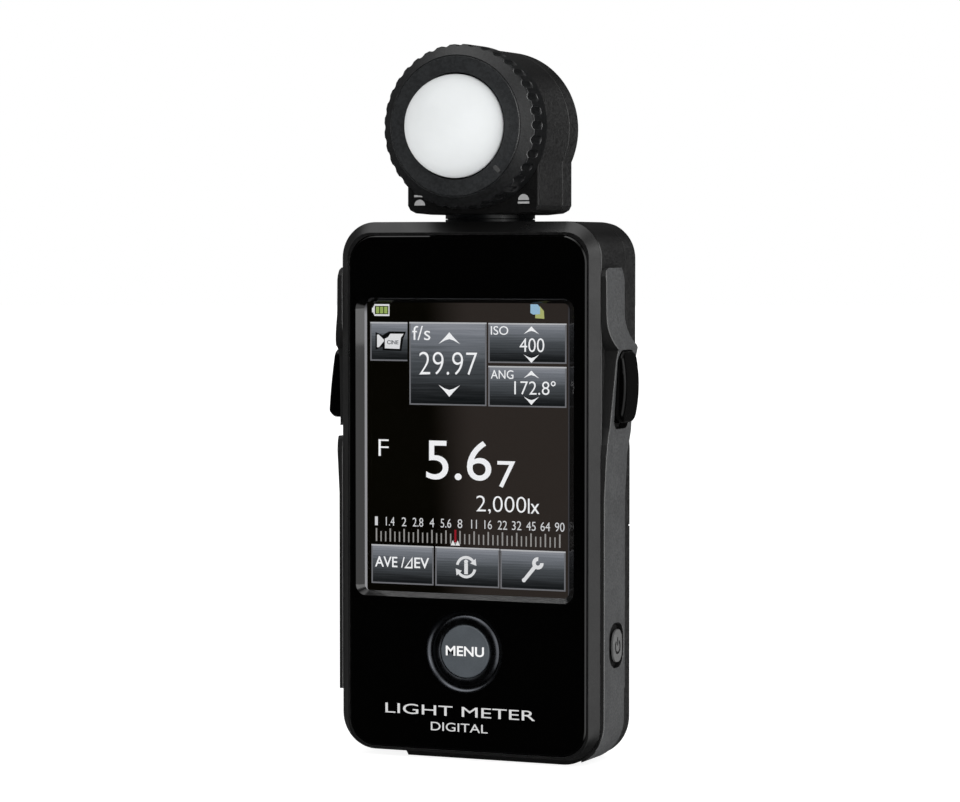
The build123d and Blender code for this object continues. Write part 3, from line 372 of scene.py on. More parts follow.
def make_finishes():
    """One finish for every material slot of the record."""
    dark_gloss = Finish("panel_gloss", grey(0.0006), 0.045, Specular_IOR_Level=0.5)
    dark_gloss.smudge(14.0, 0.018).bump(dark_gloss.noise(9.0, 2.0), 0.0015)
    gloss = Finish("button_gloss", grey(0.0008), 0.12, Specular_IOR_Level=0.25)
    # Painted highlight on the button's edges that face the light.
    gloss.soften_edges(0.2).smudge(5.0, 0.04).bump(gloss.noise(2.5, 2.0), 0.003).painted_edge_highlight(0.20, 0.3)
    neck = Finish("neck_gloss", grey(0.003, -0.2), 0.30, Specular_IOR_Level=0.30)
    neck.soften_edges(0.08).smudge(2.5, 0.05).bump(neck.noise(1.2, 2.0), 0.004)
    glass = Finish("cover_glass", (1, 1, 1, 1), 0.0, Transmission_Weight=1.0, IOR=1.47)
    glass.smudge(12.0, 0.006)
    filter_glass = Finish(
        "filter_glass", (0.32, 0.55, 0.60, 1), 0.05, Transmission_Weight=0.9, IOR=1.5,
    )
    filter_glass.mottle(2.0, 0.05).smudge(2.0, 0.02)
    display = Finish("display", grey(0.001), 0.5, Specular_IOR_Level=0.0)
    display.mottle(8.0, 0.2).smudge(9.0, 0.05)
    cable = Finish("cable_jacket", grey(0.02), 0.5)
    cable.mottle(2.0, 0.15).smudge(2.0, 0.08).bump(cable.noise(0.3, 2.0), 0.01)
    bezel = moulded("bezel", 0.006, 0.32, 0.30, 0.004, speckle=0.30, edge=0.05)
    case = moulded("case_plastic", 0.020, 0.50, 0.30, 0.050, speckle=0.55)
    head = moulded("head_plastic", 0.022, 0.50, 0.30, 0.050, speckle=0.60)
    grip = moulded("grip", 0.078, 0.50, 0.34, 0.016, speckle=0.22, edge=0.06, warmth=-0.02, shine=0.4)
    ring = moulded("ring_plastic", 0.006, 0.46, 0.36, 0.030, speckle=0.45, edge=0.05, warmth=-0.08)
    return {
        # Painted shade on the bezel's top faces, painted highlight on its right upright side.
        "bezel": painted_side_highlight(painted_shade_on_faces(bezel, 0.002, forward=False), 0.11),
        "panel_gloss": dark_gloss,
        "cover_glass": glass,
        "display": display,
        "pressed_steel": metal("pressed_steel", (0.46, 0.47, 0.48, 1), 0.38, (0.1, 1, 1)),
        "menu_key": moulded("menu_key", 0.078, 0.42, 0.20, 0.003, speckle=0.05, edge=0.04, warmth=-0.14),
        "circuit_board": circuit_finish(),
        "switch_plastic": moulded("switch_plastic", 0.05, 0.4, 0.2, 0.008),
        # Painted shade on faces turned up and forward, painted highlight on edges toward the light.
        "case_plastic": painted_shade_on_faces(case, 0.003).painted_edge_highlight(0.06, 0.2),
        "black_screw": moulded("black_screw", 0.03, 0.3, 0.15, 0.004, speckle=0.2, edge=0.12),
        # Painted shade on faces turned up and forward, painted highlight on edges toward the light.
        "grip": painted_shade_on_faces(grip, 0.009).painted_edge_highlight(0.26, 0.40, sharp=0.9),
        "rubber_cover": moulded("rubber_cover", 0.060, 0.60, 0.34, 0.012, speckle=0.14, edge=0.05),
        "button_gloss": gloss,
        "button_satin": moulded("button_satin", 0.035, 0.36, 0.25, 0.006),
        "bright_steel": metal("bright_steel", (0.62, 0.62, 0.62, 1), 0.24, (1, 1, 0.1)),
        "nickel": metal("nickel", (0.60, 0.57, 0.53, 1), 0.22),
        "brass_insert": metal("brass_insert", (0.74, 0.55, 0.26, 1), 0.28, (1, 1, 0.05)),
        "inner_plastic": moulded("inner_plastic", 0.016, 0.55, 0.25, 0.012),
        "neck_gloss": neck,
        # Painted shade on faces turned up and forward, painted highlight on edges toward the light.
        "head_plastic": painted_shade_on_faces(head, 0.003).painted_edge_highlight(0.30, 0.25),
        # Painted light on the ring's forward face, painted highlight on edges toward the light.
        "ring_plastic": front_face_painted_light(ring, 0.018).painted_edge_highlight(0.34, 0.25, amount=0.9, sharp=0.93),
        "dome_diffuser": dome_finish(),
        "filter_glass": filter_glass,
        "cell_can": cell_finish(),
        "cable_jacket": cable,
    }


def dress(node, finish):
    """Gives one CAD node a finish of its own."""
    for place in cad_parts[node].material_slots:
        place.material = finish.material


def dress_nodes(finishes):
    """Gives every CAD node the finish of its own slot, then two of them their own."""
    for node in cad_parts.values():
        for place in node.material_slots:
            place.material = finishes[place.material.name.split(".")[0]].material
    dress("menu_ring", smoked_finish())
    dress("power_button", moulded("power_key_grey", 0.15, 0.4, 0.25, 0.006, speckle=0.08))


def screen_surface(name):
    """The display's dark surface, which glows in the colour that is then fed to it."""
    made = Finish(name, grey(0.001), 0.6, Specular_IOR_Level=0.0)
    made.set("Emission Strength", 1.0)
    return made


def lit(name, shade):
    """A lit screen colour, from 0 to 255 per channel, with a little unevenness."""
    made = screen_surface(name)
    bright = linear(shade)
    dim = tuple(c * 0.94 for c in bright[:3]) + (1.0,)
    made.set("Emission Color", made.mix(made.noise(3.0, 2.0, seed=6.0), dim, bright))
    return made


# A screen button's shades at its foot and its top, and at shares of its height between them.
TILE_FOOT = (14, 17, 18)
TILE_TOP = (138, 141, 148)
TILE_BETWEEN = {0.16: (34, 36, 38), 0.55: (74, 78, 82), 0.86: (118, 122, 129)}


def tile_finish():
    """Screen buttons drawn as dark brushed metal, light above and nearly black below."""
    made = screen_surface("screen_tile")
    drawn = made.node("ShaderNodeUVMap", uv_map="UVMap").outputs[0]
    rows = made.node("ShaderNodeMapping", {"Vector": drawn, "Scale": (0.25, 9.0, 1.0)})
    streak = made.node(
        "ShaderNodeTexNoise", {"Vector": rows.outputs[0], "Scale": 2.6, "Detail": 3.0, "Roughness": 0.7},
    ).outputs["Fac"]
    shade = made.math("ADD", made.split(drawn)["Y"], made.ramp(streak, 0.3, 0.7, -0.085, 0.085))
    colours = made.node("ShaderNodeValToRGB", {"Fac": shade})
    stops = colours.color_ramp.elements
    stops[0].color = linear(TILE_FOOT)
    stops[1].color = linear(TILE_TOP)
    for position, shade_there in TILE_BETWEEN.items():
        stops.new(position).color = linear(shade_there)
    made.set("Emission Color", colours.outputs["Color"])
    return made


def ground_finish():
    """The screen's dark ground: black at the left, a warm grey haze over the right half."""
    made = screen_surface("screen_ground")
    place = made.split(made.place)
    across = made.math("ADD", place["X"], made.math("MULTIPLY", place["Z"], 0.05))
    share = made.ramp(across, -6.0 * MM, 5.0 * MM)
    made.set("Emission Color", made.mix(share, linear((7, 6, 3)), linear((45, 40, 37))))
    return made


def border_painted_reflection():
    """Painted reflection: a line round the display that glows, strongest down the left side, fading out
    at the top.
    """
    made = Finish("screen_border", grey(0.002), 0.5, Specular_IOR_Level=0.05)
    place = made.split(made.place)
    left = made.ramp(place["X"], -21.6 * MM, -22.4 * MM)
    low = made.ramp(place["Z"], 90.2 * MM, 87.5 * MM)
    along = made.mix(made.math("MULTIPLY", left, low), linear((58, 58, 62)), linear((150, 150, 153)))
    made.set("Emission Color", along)
    made.set("Emission Strength", made.ramp(place["Z"], 88.0 * MM, 90.5 * MM, 1.0, 0.35))
    return made


# ---------------------------------------------------------------- flat printed shapes


def around(centre, radius, turns):
    """Points on a circle at those turns, in radians anticlockwise from across."""
    return [(centre[0] + radius * math.cos(t), centre[1] + radius * math.sin(t)) for t in turns]


def rounded(left, bottom, right, top, radius, steps=6):
    """Points round a rectangle with round corners, anticlockwise from its upper right one."""
    points = []
    for turn, (a, b) in enumerate(((right, top), (left, top), (left, bottom), (right, bottom))):
        centre = (a - radius * (1 if a == right else -1), b - radius * (1 if b == top else -1))
        turns = [math.radians(90 * (turn + k / steps)) for k in range(steps + 1)]
        points += around(centre, radius, turns)
    return points


class Print:
    """Closed thin shapes on a plane, in millimetres: a runs across, b runs up, and they stand out."""

    def __init__(self, origin, across, up, thickness, body, slot):
        self.origin = Vector(origin) * MM
        self.across = Vector(across)
        self.up = Vector(up)
        self.out = self.across.cross(self.up)
        self.thickness = thickness
        self.body = body
        self.slot = slot
        self.mesh = bmesh.new()
        self.drawn = self.mesh.loops.layers.uv.new("UVMap")

    def point(self, a, b, height):
        return self.origin + (self.across * a + self.up * b + self.out * height) * MM

    def shape(self, outline):
        """One prism from an outline in either direction. Its UVs span the outline's box."""
        area = sum(p[0] * q[1] - q[0] * p[1] for p, q in zip(outline, outline[1:] + outline[:1]))
        if area < 0:
            outline = outline[::-1]
        low = [min(p[k] for p in outline) for k in (0, 1)]
        size = [max(p[k] for p in outline) - low[k] for k in (0, 1)]
        top = [self.mesh.verts.new(self.point(a, b, self.thickness)) for a, b in outline]
        foot = [self.mesh.verts.new(self.point(a, b, 0)) for a, b in outline]
        count = len(outline)
        faces = [self.mesh.faces.new(top), self.mesh.faces.new(foot[::-1])]
        for k in range(count):
            n = (k + 1) % count
            faces.append(self.mesh.faces.new((foot[k], foot[n], top[n], top[k])))
        where = {v: outline[k] for ring in (top, foot) for k, v in enumerate(ring)}
        for face in faces:
            for loop in face.loops:
                a, b = where[loop.vert]
                loop[self.drawn].uv = ((a - low[0]) / size[0], (b - low[1]) / size[1])

    def box(self, a0, b0, a1, b1):
        self.shape([(a0, b0), (a1, b0), (a1, b1), (a0, b1)])

    def arc(self, centre, inner, outer, start, end, steps=24):
        """Part of a ring from start to end, in degrees anticlockwise from across."""
        turns = [math.radians(start + (end - start) * k / steps) for k in range(steps + 1)]
        self.shape(around(centre, outer, turns) + around(centre, inner, turns)[::-1])

    def disc(self, centre, radius, steps=20):
        self.shape(around(centre, radius, [2 * math.pi * k / steps for k in range(steps)]))

    def words(self, text, a0, a1, b0, b1, weight=0.0):
        """Lettering stretched to fill a rectangle."""
        curve = bpy.data.curves.new("lettering", "FONT")
        curve.body = text
        curve.extrude = 0.5
        curve.offset = weight
        curve.resolution_u = 6
        holder = add_object("lettering", curve)
        bpy.context.view_layer.update()
        view = bpy.context.evaluated_depsgraph_get()
        letters = bpy.data.meshes.new_from_object(holder.evaluated_get(view))
        bpy.data.objects.remove(holder)
        low = [min(v.co[k] for v in letters.vertices) for k in range(3)]
        high = [max(v.co[k] for v in letters.vertices) for k in range(3)]
        for v in letters.vertices:
            share = [(v.co[k] - low[k]) / (high[k] - low[k]) for k in range(3)]
            v.co = self.point(
                a0 + (a1 - a0) * share[0], b0 + (b1 - b0) * share[1], self.thickness * share[2],
            )
        self.mesh.from_mesh(letters)
        bpy.data.meshes.remove(letters)

    def make(self, name, finish):
        bmesh.ops.remove_doubles(self.mesh, verts=self.mesh.verts, dist=1e-7)
        bmesh.ops.recalc_face_normals(self.mesh, faces=self.mesh.faces)
        piece = add_mesh(name, self.mesh, finish)
        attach(piece, self.body)


# ---------------------------------------------------------------- the screen

GLASS_THICKNESS = 0.7
GLASS_CORNER = 1.2
GLASS_GROUND_EDGE = 0.12
INK = 0.03
GROUND_DEPTH = 0.005
LAYER_STEP = 0.035
SCREEN_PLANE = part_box("lcd_module")[0].y / MM

# Rectangles on the screen, each (left, bottom, right, top).
GROUND = (-23.2, 31.3, 22.0, 91.7)
BORDER_OUTSIDE = (-23.25, 31.85, 21.75, 91.0)
BORDER_INSIDE = (-22.35, 32.75, 20.85, 90.15)
CAMERA_TILE = (-21.6, 78.5, -13.5, 86.2)
RATE_TILE = (-13.05, 69.9, 3.55, 86.25)
ISO_TILE = (3.95, 78.4, 20.45, 86.2)
ANGLE_TILE = (3.95, 69.85, 20.45, 77.8)
AVERAGE_TILE = (-21.4, 34.2, -7.85, 41.95)
INFO_TILE = (-7.45, 34.2, 6.3, 41.95)
SETUP_TILE = (6.55, 34.1, 20.3, 41.9)
TILES = (CAMERA_TILE, RATE_TILE, ISO_TILE, ANGLE_TILE, AVERAGE_TILE, INFO_TILE, SETUP_TILE)
TILE_LINE = 0.28


def glass_piece(finish):
    """The touch glass as a plate with ground edges, clear of the display behind it."""
    low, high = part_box("touch_glass")
    high.y = low.y + GLASS_THICKNESS * MM
    shape = bmesh.new()
    bmesh.ops.create_cube(shape, size=1.0)
    for v in shape.verts:
        for k in range(3):
            v.co[k] = (low[k] + high[k]) / 2 + v.co[k] * (high[k] - low[k])
    upright = [e for e in shape.edges if abs((e.verts[0].co - e.verts[1].co).normalized().y) > 0.9]
    bmesh.ops.bevel(
        shape, geom=upright, offset=GLASS_CORNER * MM, segments=6, affect="EDGES", profile=0.5,
    )
    rims = [e for e in shape.edges if len(e.link_faces) == 2 and e.calc_face_angle() > 0.8]
    bmesh.ops.bevel(
        shape, geom=rims, offset=GLASS_GROUND_EDGE * MM, segments=2, affect="EDGES", profile=0.5,
    )
    piece = add_mesh("screen_glass", shape, finish)
    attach(piece, "body")
    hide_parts("touch_glass")


def screen_border():
    """A sloping frame between the glass and the display, all the way round."""
    outer = rounded(*BORDER_OUTSIDE, 1.3)
    inner = rounded(*BORDER_INSIDE, 0.5)
    shape = bmesh.new()
    loops = []
    for points, height in ((outer, 0.0), (outer, 0.24), (inner, 0.12), (inner, 0.0)):
        loops.append([shape.verts.new(Vector((a, SCREEN_PLANE - height, b)) * MM) for a, b in points])
    for k, loop in enumerate(loops):
        following = loops[(k + 1) % len(loops)]
        for n in range(len(loop)):
            m = (n + 1) % len(loop)
            shape.faces.new((loop[n], loop[m], following[m], following[n]))
    bmesh.ops.recalc_face_normals(shape, faces=shape.faces)
    # The frame's glow is painted reflection, brightest down the left side.
    piece = add_mesh("screen_border", shape, border_painted_reflection())
    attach(piece, "body")


def screen_layer(level):
    """A print on the display. Level 0 is its ground, and each further level lies nearer the eye."""
    depth = GROUND_DEPTH + LAYER_STEP * level
    return Print((0, SCREEN_PLANE - depth, 0), ACROSS, UP, INK, "body", "display")


def screen_tiles():
    """The screen's ground and its buttons, with a bright line on top of each and dim ones round it."""
    ground = screen_layer(0)
    ground.box(*GROUND)
    ground.make("screen_ground", ground_finish())
    face = screen_layer(1)
    bright = screen_layer(2)
    dim = screen_layer(2)
    for tile in TILES:
        left, bottom, right, top = tile
        face.box(*tile)
        bright.box(left, top - TILE_LINE, right, top)
        dim.box(left, bottom + TILE_LINE, left + TILE_LINE, top - TILE_LINE)
        dim.box(left, bottom, right, bottom + TILE_LINE)
        if tile != CAMERA_TILE:
            dim.box(right - TILE_LINE, bottom + TILE_LINE, right, top - TILE_LINE)
    face.make("screen_tiles", tile_finish())
    bright.make("screen_tile_tops", lit("screen_line_bright", (186, 187, 190)))
    dim.make("screen_tile_sides", lit("screen_line_dim", (112, 113, 117)))


def chevron(layer, a, b, half, rise):
    """An arrowhead pointing up (rise > 0) or down, thick in the middle, with swept tips."""
    inner = rise * 0.42
    layer.shape([
        (a - half, b), (a - half * 0.45, b + rise * 0.52), (a, b + rise),
        (a + half * 0.45, b + rise * 0.52), (a + half, b), (a + half * 0.42, b + inner * 0.72),
        (a, b + inner), (a - half * 0.42, b + inner * 0.72),
    ])


def screen_words():
    """The values and labels, each stretched between its left, right, bottom and top."""
    white = screen_layer(3)
    white.words("f/s", -12.4, -8.5, 82.7, 85.5, -0.004)
    white.words("29.97", -10.9, 1.6, 75.9, 80.4, -0.014)
    white.words("ISO", 4.5, 8.2, 83.9, 85.6)
    white.words("400", 10.6, 15.8, 80.6, 83.3, -0.006)
    white.words("ANG", 4.5, 9.3, 75.3, 77.0)
    white.words("172.8", 9.5, 16.9, 72.3, 74.9, -0.008)
    # The degree sign, and then the arrowheads above and below each value.
    white.arc((17.7, 74.5), 0.28, 0.5, 0, 359, 20)
    for a, b, half, rise in (
        (-4.4, 82.0, 2.3, 2.3), (-4.4, 73.9, 2.3, -2.3), (13.1, 84.1, 1.6, 1.5),
        (13.1, 80.1, 1.6, -1.6), (13.1, 75.5, 1.6, 1.5), (13.1, 71.9, 1.6, -1.6),
    ):
        chevron(white, a, b, half, rise)
    white.words("F", -19.8, -17.6, 59.6, 62.9, -0.012)
    white.words("5.6", -9.4, 4.6, 55.2, 63.0)
    white.words("7", 5.9, 9.7, 54.0, 59.2)
    white.words("2,000", 1.4, 12.0, 48.7, 52.3, -0.012)
    white.words("lx", 12.4, 14.8, 49.1, 52.0)
    white.words("AVE", -20.6, -15.7, 37.5, 39.6, 0.01)
    white.words("/", -14.9, -14.1, 37.5, 39.6, 0.01)
    white.words("EV", -12.0, -8.8, 37.5, 39.6, 0.01)
    # The difference sign: a right-angled triangle with thin sides.
    white.shape([
        (-14.2, 37.4), (-12.4, 37.4), (-12.4, 39.7), (-12.65, 39.2), (-12.7, 37.7), (-13.7, 37.7),
        (-12.7, 39.0), (-12.55, 39.5),
    ])
    white.make("screen_words", lit("screen_white", (247, 248, 250)))


STOPS = ("1", "1.4", "2", "2.8", "4", "5.6", "8", "11", "16", "22", "32", "45", "64", "90")
SCALE_LEFT = -20.3
SCALE_STEP = 3.03
SCALE_FOOT = 42.6
WHOLE_TICK_TOP = 45.2
THIRD_TICK_TOP = 44.6
MARKER_X = -3.1


def screen_scale():
    """Aperture scale: whole stops numbered, thirds between, and the reading's pointer."""
    numbers = screen_layer(3)
    ticks = screen_layer(2)
    for k, stop in enumerate(STOPS):
        a = SCALE_LEFT + SCALE_STEP * k
        narrow = 0.20 * stop.count("1") - (0.14 if "." in stop else 0)
        half = 0.50 * len(stop.replace(".", "")) - narrow
        numbers.words(stop, a - half, a + half, 45.75, 47.5, -0.004)
        ticks.box(a - 0.15, SCALE_FOOT, a + 0.15, WHOLE_TICK_TOP)
        if k < len(STOPS) - 1:
            for third in (1, 2):
                at = a + SCALE_STEP * third / 3
                ticks.box(at - 0.13, SCALE_FOOT, at + 0.13, THIRD_TICK_TOP)
    numbers.make("screen_stops", lit("screen_soft_white", (214, 215, 217)))
    ticks.make("screen_ticks", lit("screen_tick", (150, 148, 146)))
    pointer = screen_layer(3)
    pointer.box(MARKER_X - 0.2, 42.9, MARKER_X + 0.2, 45.4)
    pointer.make("screen_pointer", lit("screen_red", (150, 30, 42)))
    marker = screen_layer(4)
    for left in (MARKER_X - 1.0, MARKER_X):
        marker.shape([(left, 42.3), (left + 1.0, 42.3), (left + 0.5, 43.3)])
    marker.make("screen_marker", lit("screen_marker_white", (235, 235, 235)))


def draw_battery(line):
    """An open battery outline with its terminal at the left."""
    for b in (87.4, 89.4):
        line.box(-20.7, b, -17.4, b + 0.35)
    line.box(-17.6, 87.75, -17.4, 89.4)
    line.box(-20.9, 87.75, -20.6, 89.4)
    line.box(-21.2, 88.1, -20.9, 89.05)


def draw_camera(line):
    """A camera seen from the side: lens hood, then body and carrying handle."""
    line.shape([(-20.1, 81.2), (-19.7, 81.2), (-18.6, 82.4), (-18.6, 82.7), (-19.7, 83.7), (-20.1, 83.7)])
    line.shape([
        (-18.4, 81.0), (-15.2, 80.9), (-14.9, 83.1), (-14.3, 83.9), (-17.2, 83.9), (-17.7, 83.2),
        (-18.4, 82.9),
    ])


def draw_turning_arrows(line):
    """Two arrows that chase each other round an i."""
    centre = (-0.8, 38.1)
    line.words("i", -1.22, -0.38, 36.7, 39.6, 0.05)
    for start in (40, 220):
        line.arc(centre, 1.65, 2.2, start, start + 128)
        turn = math.radians(start)
        side = Vector((math.cos(turn), math.sin(turn)))
        back = Vector((math.sin(turn), -math.cos(turn)))
        neck = Vector(centre) + side * 1.92
        line.shape([tuple(neck - side * 0.75), tuple(neck + back * 1.15), tuple(neck + side * 0.75)])


def draw_spanner(line):
    """A round-ended handle, and a jaw open to the upper right."""
    line.shape([(11.3, 36.2), (11.8, 35.7), (14.3, 38.6), (13.7, 39.1)])
    line.disc((11.55, 36.0), 0.42)
    line.arc((14.5, 39.4), 0.45, 1.2, 85, 365)


def screen_icons():
    """Battery state, pages, camera, turning arrows round an i, and a spanner."""
    shadow = screen_layer(2)
    shadow.shape([(-20.45, 80.7), (-18.9, 81.3), (-18.9, 83.6), (-20.45, 84.2)])
    shadow.shape([
        (-18.9, 80.6), (-14.8, 80.5), (-14.4, 82.9), (-13.8, 84.35), (-17.5, 84.35), (-18.9, 83.6),
    ])
    shadow.make("screen_camera_shadow", lit("screen_icon_black", (12, 13, 14)))
    line = screen_layer(3)
    for draw in (draw_battery, draw_camera, draw_turning_arrows, draw_spanner):
        draw(line)
    line.make("screen_icons", lit("screen_icon_white", (226, 227, 229)))
    label = screen_layer(4)
    label.words("CINE", -17.9, -15.4, 81.8, 82.6, 0.02)
    label.make("screen_camera_word", lit("screen_icon_dark", (92, 94, 98)))
    charge = screen_layer(2)
    for a in (-20.35, -19.45, -18.55):
        charge.box(a, 87.9, a + 0.7, 89.25)
    charge.make("screen_charge", lit("screen_green", (150, 172, 96)))
    page = screen_layer(2)
    page.shape([(13.9, 87.2), (15.8, 87.1), (15.7, 88.6), (14.9, 89.5), (13.9, 89.4)])
    page.make("screen_page_back", lit("screen_page_yellow", (170, 176, 112)))
    sheet = screen_layer(3)
    sheet.shape([(12.9, 88.2), (13.5, 87.9), (14.9, 88.0), (14.9, 89.3), (14.4, 89.9), (12.9, 89.9)])
    sheet.make("screen_page_front", lit("screen_page_blue", (150, 186, 212)))


# ---------------------------------------------------------------- marks on the mouldings

PAINT = 0.02
PAINT_GAP = 0.002
SEAL_INNER_R = 5.6
SEAL_OUTER_R = 8.5
SEAL_GAP = 0.003
INDEX_TURN = math.radians(-43.5)
INDEX_BAR = (11.35, -0.42, 12.95, 0.42)
MARK_R = 1.15


def panel_words():
    """Plain words where a meter of this kind carries its name."""
    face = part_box("front_panel")[0].y / MM
    words = Print((0, face + PAINT_GAP, 0), ACROSS, UP, PAINT, "body", "panel_gloss")
    words.words("LIGHT METER", -17.5, 14.7, 8.7, 10.7)
    words.words("DIGITAL", -7.6, 4.6, 5.7, 7.4)
    words.make("panel_words", ink("print_white", 0.62, 0.45))


def neck_seal():
    """Felt washer that closes the running gap between the neck and the head."""
    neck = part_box("neck_ring")[1].z / MM
    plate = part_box("head_plate")[0].z / MM
    thickness = plate - neck - 2 * SEAL_GAP
    seal = Print((0, 0, neck + SEAL_GAP), ACROSS, BACKWARD, thickness, "body", "inner_plastic")
    seal.arc((0, 0), SEAL_INNER_R, SEAL_OUTER_R, 0, 359.9, 96)
    felt = Finish("felt_black", grey(0.003), 0.9, Specular_IOR_Level=0.1)
    felt.mottle(1.0, 0.2).smudge(1.0, 0.05).bump(felt.noise(0.2, 3.0), 0.02)
    seal.make("neck_seal", felt)


def ring_index():
    """The short bar on the ring's face that points at the dome marks."""
    low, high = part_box("retraction_ring")
    hub = (low.z + high.z) / 2 / MM
    along = Vector((math.cos(INDEX_TURN), 0, math.sin(INDEX_TURN)))
    beside = Vector((-along.z, 0, along.x))
    bar = Print((0, low.y / MM + 0.01, hub), along, beside, 0.09, "ring", "ring_plastic")
    bar.shape(rounded(*INDEX_BAR, 0.3))
    bar.make("ring_index", moulded("index_grey", 0.05, 0.4, 0.25, 0.008, speckle=0.1))


def menu_word():
    """The word on the menu key."""
    low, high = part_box("menu_button")
    middle = (low + high) / 2 / MM
    place = (middle.x, low.y / MM + PAINT_GAP, middle.z)
    word = Print(place, ACROSS, UP, PAINT, "menu_key", "menu_key")
    word.words("MENU", -4.1, 4.1, -0.95, 1.0, 0.018)
    word.make("menu_word", ink("print_bright", 0.86, 0.4, 0.05))


def power_mark():
    """A broken ring with a bar in its gap, on the power key's outer face."""
    low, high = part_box("power_button")
    middle = (low + high) / 2 / MM
    place = (high.x / MM - 0.004, middle.y, middle.z)
    mark = Print(place, BACKWARD, UP, PAINT, "power_key", "button_satin")
    mark.arc((0, -0.2), 1.0, 1.45, 125, 415)
    mark.box(-0.22, 0.0, 0.22, 1.7)
    mark.make("power_mark", ink("print_black", 0.006, 0.35, 0.1))


def head_marks():
    """Retracted mark (dome under a line) at the left, extended mark at the right."""
    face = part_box("head_front_shell")[0].y / MM
    mark = Print((0, face + PAINT_GAP, 0), ACROSS, UP, PAINT, "head", "head_plastic")
    for a, dome_b, line_b in ((-11.4, 109.25, 110.9), (10.85, 110.2, 109.5)):
        mark.arc((a, dome_b), 0.0001, MARK_R, 0, 180)
        mark.box(a - 1.2, line_b, a + 1.2, line_b + 0.4)
    mark.make("head_marks", ink("print_grey", 0.42, 0.5, 0.08))


# ---------------------------------------------------------------- studio

CAMERA_PLACE = (0.26651, -0.61691, 0.09943)
CAMERA_TURN = math.radians(23.54)
CAMERA_PITCH = math.radians(2.47)
CAMERA_LENS = 126.7
SENSOR_WIDTH = 36.0
FLOOR_RADIUS = 6.0
FLOOR_GLOW = 0.88
LAMP_PLACE = Vector((0.75, -0.45, 0.30))
LAMP_AIM = Vector((0, 0, 0.09))
LAMP_SIZE = (0.18, 0.5)
LAMP_POWER = 0.6
SKY_POWER = 0.3
SKY_ANGLE = math.radians(80)

# Patches of the studio: azimuth in degrees (0 the front, 90 the right), rise over a run of 1, the
# cosines of the angle from its middle where the patch starts and is full, and the levels outside and
# inside it. The dark screen multiplies what reflections see, and the soft light is for diffuse surfaces.
RIGHT_WALL = (52, 0.05, 0.70, 0.93, 0.02, 1.25)
LEFT_WALL = (-95, 0.1, 0.55, 0.9, 0.0, 0.08)
CEILING = (0, 50.0, 0.45, 0.90, 0.0, 0.16)
BACK_WALL = (165, 0.3, 0.45, 0.95, 0.0, 0.02)
HIGH_FRONT_PANEL = (-24, 1.4, 0.72, 0.95, 0.0, 1.7)
DARK_SCREEN = (-24, 0.0, 0.62, 0.86, 1.0, 0.02)
SOFT_LIGHT = (75, 0.0, -0.8, 0.9, 0.74, 1.15)


def make_camera():
    """The camera as fitted to the photograph's edges and ellipses."""
    lens = bpy.data.cameras.new("camera")
    lens.lens = CAMERA_LENS
    lens.sensor_width = SENSOR_WIDTH
    lens.clip_start = 0.01
    lens.clip_end = 50.0
    camera = add_object("camera", lens)
    camera.location = CAMERA_PLACE
    camera.rotation_euler = (math.pi / 2 - CAMERA_PITCH, 0, CAMERA_TURN)
    bpy.context.scene.camera = camera


def make_floor():
    """White paper that glows, hidden from reflections and from rays that pass through glass."""
    shape = bmesh.new()
    bmesh.ops.create_circle(shape, cap_ends=True, radius=FLOOR_RADIUS, segments=96)
    paper = Finish("floor_paper", grey(0.35), 0.8, Specular_IOR_Level=0.0)
    paper.mottle(400.0, 0.01)
    paper.set("Emission Color", grey(1.0))
    paper.set("Emission Strength", FLOOR_GLOW)
    floor = add_mesh("floor", shape, paper)
    floor.location.z = CAD_BOX[0].z
    floor.visible_glossy = False
    floor.visible_transmission = False


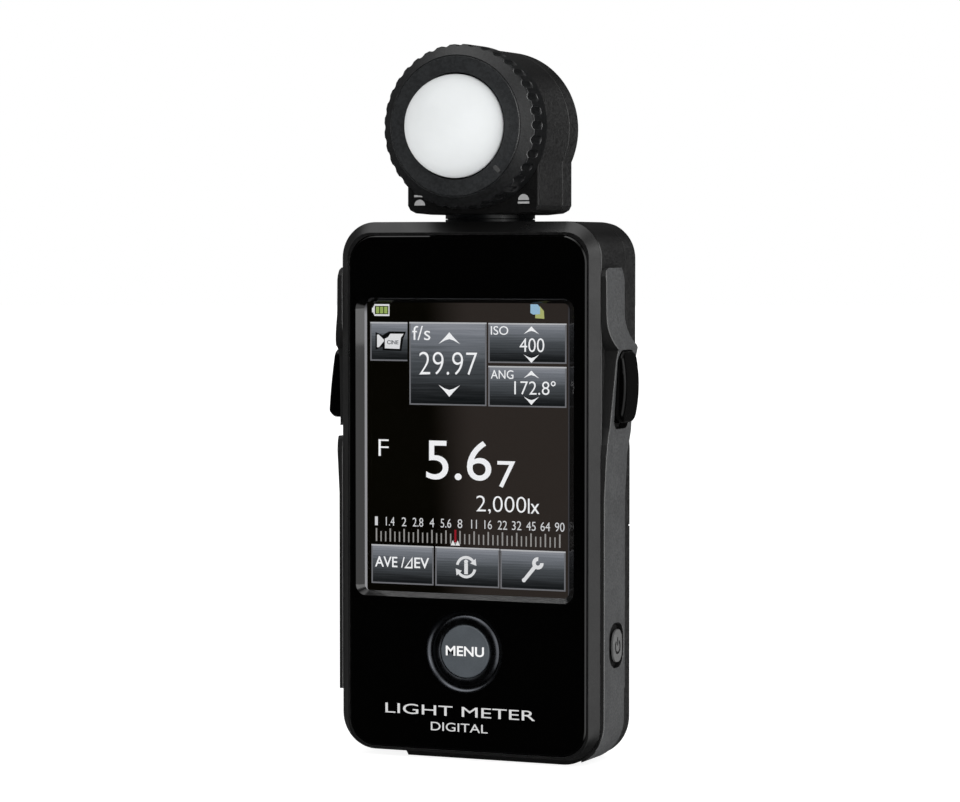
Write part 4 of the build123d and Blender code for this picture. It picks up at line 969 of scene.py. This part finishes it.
def make_world():
    """White to the camera, patches of light to reflections, and soft light to diffuse surfaces."""
    world = bpy.data.worlds.new("studio")
    bpy.context.scene.world = world
    world.use_nodes = True
    tree = world.node_tree
    tree.nodes.clear()
    look = add_node(tree, "ShaderNodeTexCoord").outputs["Generated"]

    def math_node(operation, first, second):
        return add_node(tree, "ShaderNodeMath", {0: first, 1: second}, operation=operation).outputs[0]

    def blend(share, first, second):
        return add_node(tree, "ShaderNodeMix", {0: share, 2: first, 3: second}).outputs[0]

    def patch(azimuth, rise, edge, core, low, high):
        turn = math.radians(azimuth)
        middle = Vector((math.sin(turn), -math.cos(turn), rise)).normalized()
        near = add_node(tree, "ShaderNodeVectorMath", {0: look, 1: middle}, operation="DOT_PRODUCT")
        return add_node(
            tree, "ShaderNodeMapRange",
            {"Value": near.outputs["Value"], "From Min": edge, "From Max": core, "To Min": low,
             "To Max": high},
            interpolation_type="SMOOTHSTEP",
        ).outputs["Result"]

    mirrored = patch(*RIGHT_WALL)
    for other in (LEFT_WALL, CEILING, BACK_WALL, HIGH_FRONT_PANEL):
        mirrored = math_node("ADD", mirrored, patch(*other))
    mirrored = math_node("MULTIPLY", mirrored, patch(*DARK_SCREEN))
    ray = add_node(tree, "ShaderNodeLightPath").outputs
    is_mirrored = math_node("MAXIMUM", ray["Is Glossy Ray"], ray["Is Transmission Ray"])
    unseen = blend(is_mirrored, patch(*SOFT_LIGHT), mirrored)
    strength = blend(ray["Is Camera Ray"], unseen, 1.0)
    shade = add_node(tree, "ShaderNodeBackground", {"Color": (1, 1, 1, 1), "Strength": strength})
    add_node(tree, "ShaderNodeOutputWorld", {"Surface": shade.outputs["Background"]})


def make_sky():
    """A broad soft light from straight above, which lifts the floor to the paper's white."""
    data = bpy.data.lights.new("overhead", "SUN")
    data.energy = SKY_POWER
    data.angle = SKY_ANGLE
    add_object("overhead", data)


def make_lamp():
    """A weak soft box at the front right."""
    data = bpy.data.lights.new("front_right", "AREA")
    data.shape = "RECTANGLE"
    data.size, data.size_y = LAMP_SIZE
    data.energy = LAMP_POWER
    lamp = add_object("front_right", data)
    lamp.location = LAMP_PLACE
    lamp.rotation_euler = (LAMP_AIM - LAMP_PLACE).to_track_quat("-Z", "Y").to_euler()
    lamp.visible_camera = False


finishes = make_finishes()
dress_nodes(finishes)
glass_piece(finishes["cover_glass"])
screen_border()
screen_tiles()
screen_words()
screen_scale()
screen_icons()
panel_words()
neck_seal()
ring_index()
menu_word()
power_mark()
head_marks()
make_camera()
make_floor()
make_world()
make_sky()
make_lamp()
bpy.context.scene.view_settings.view_transform = "Standard"
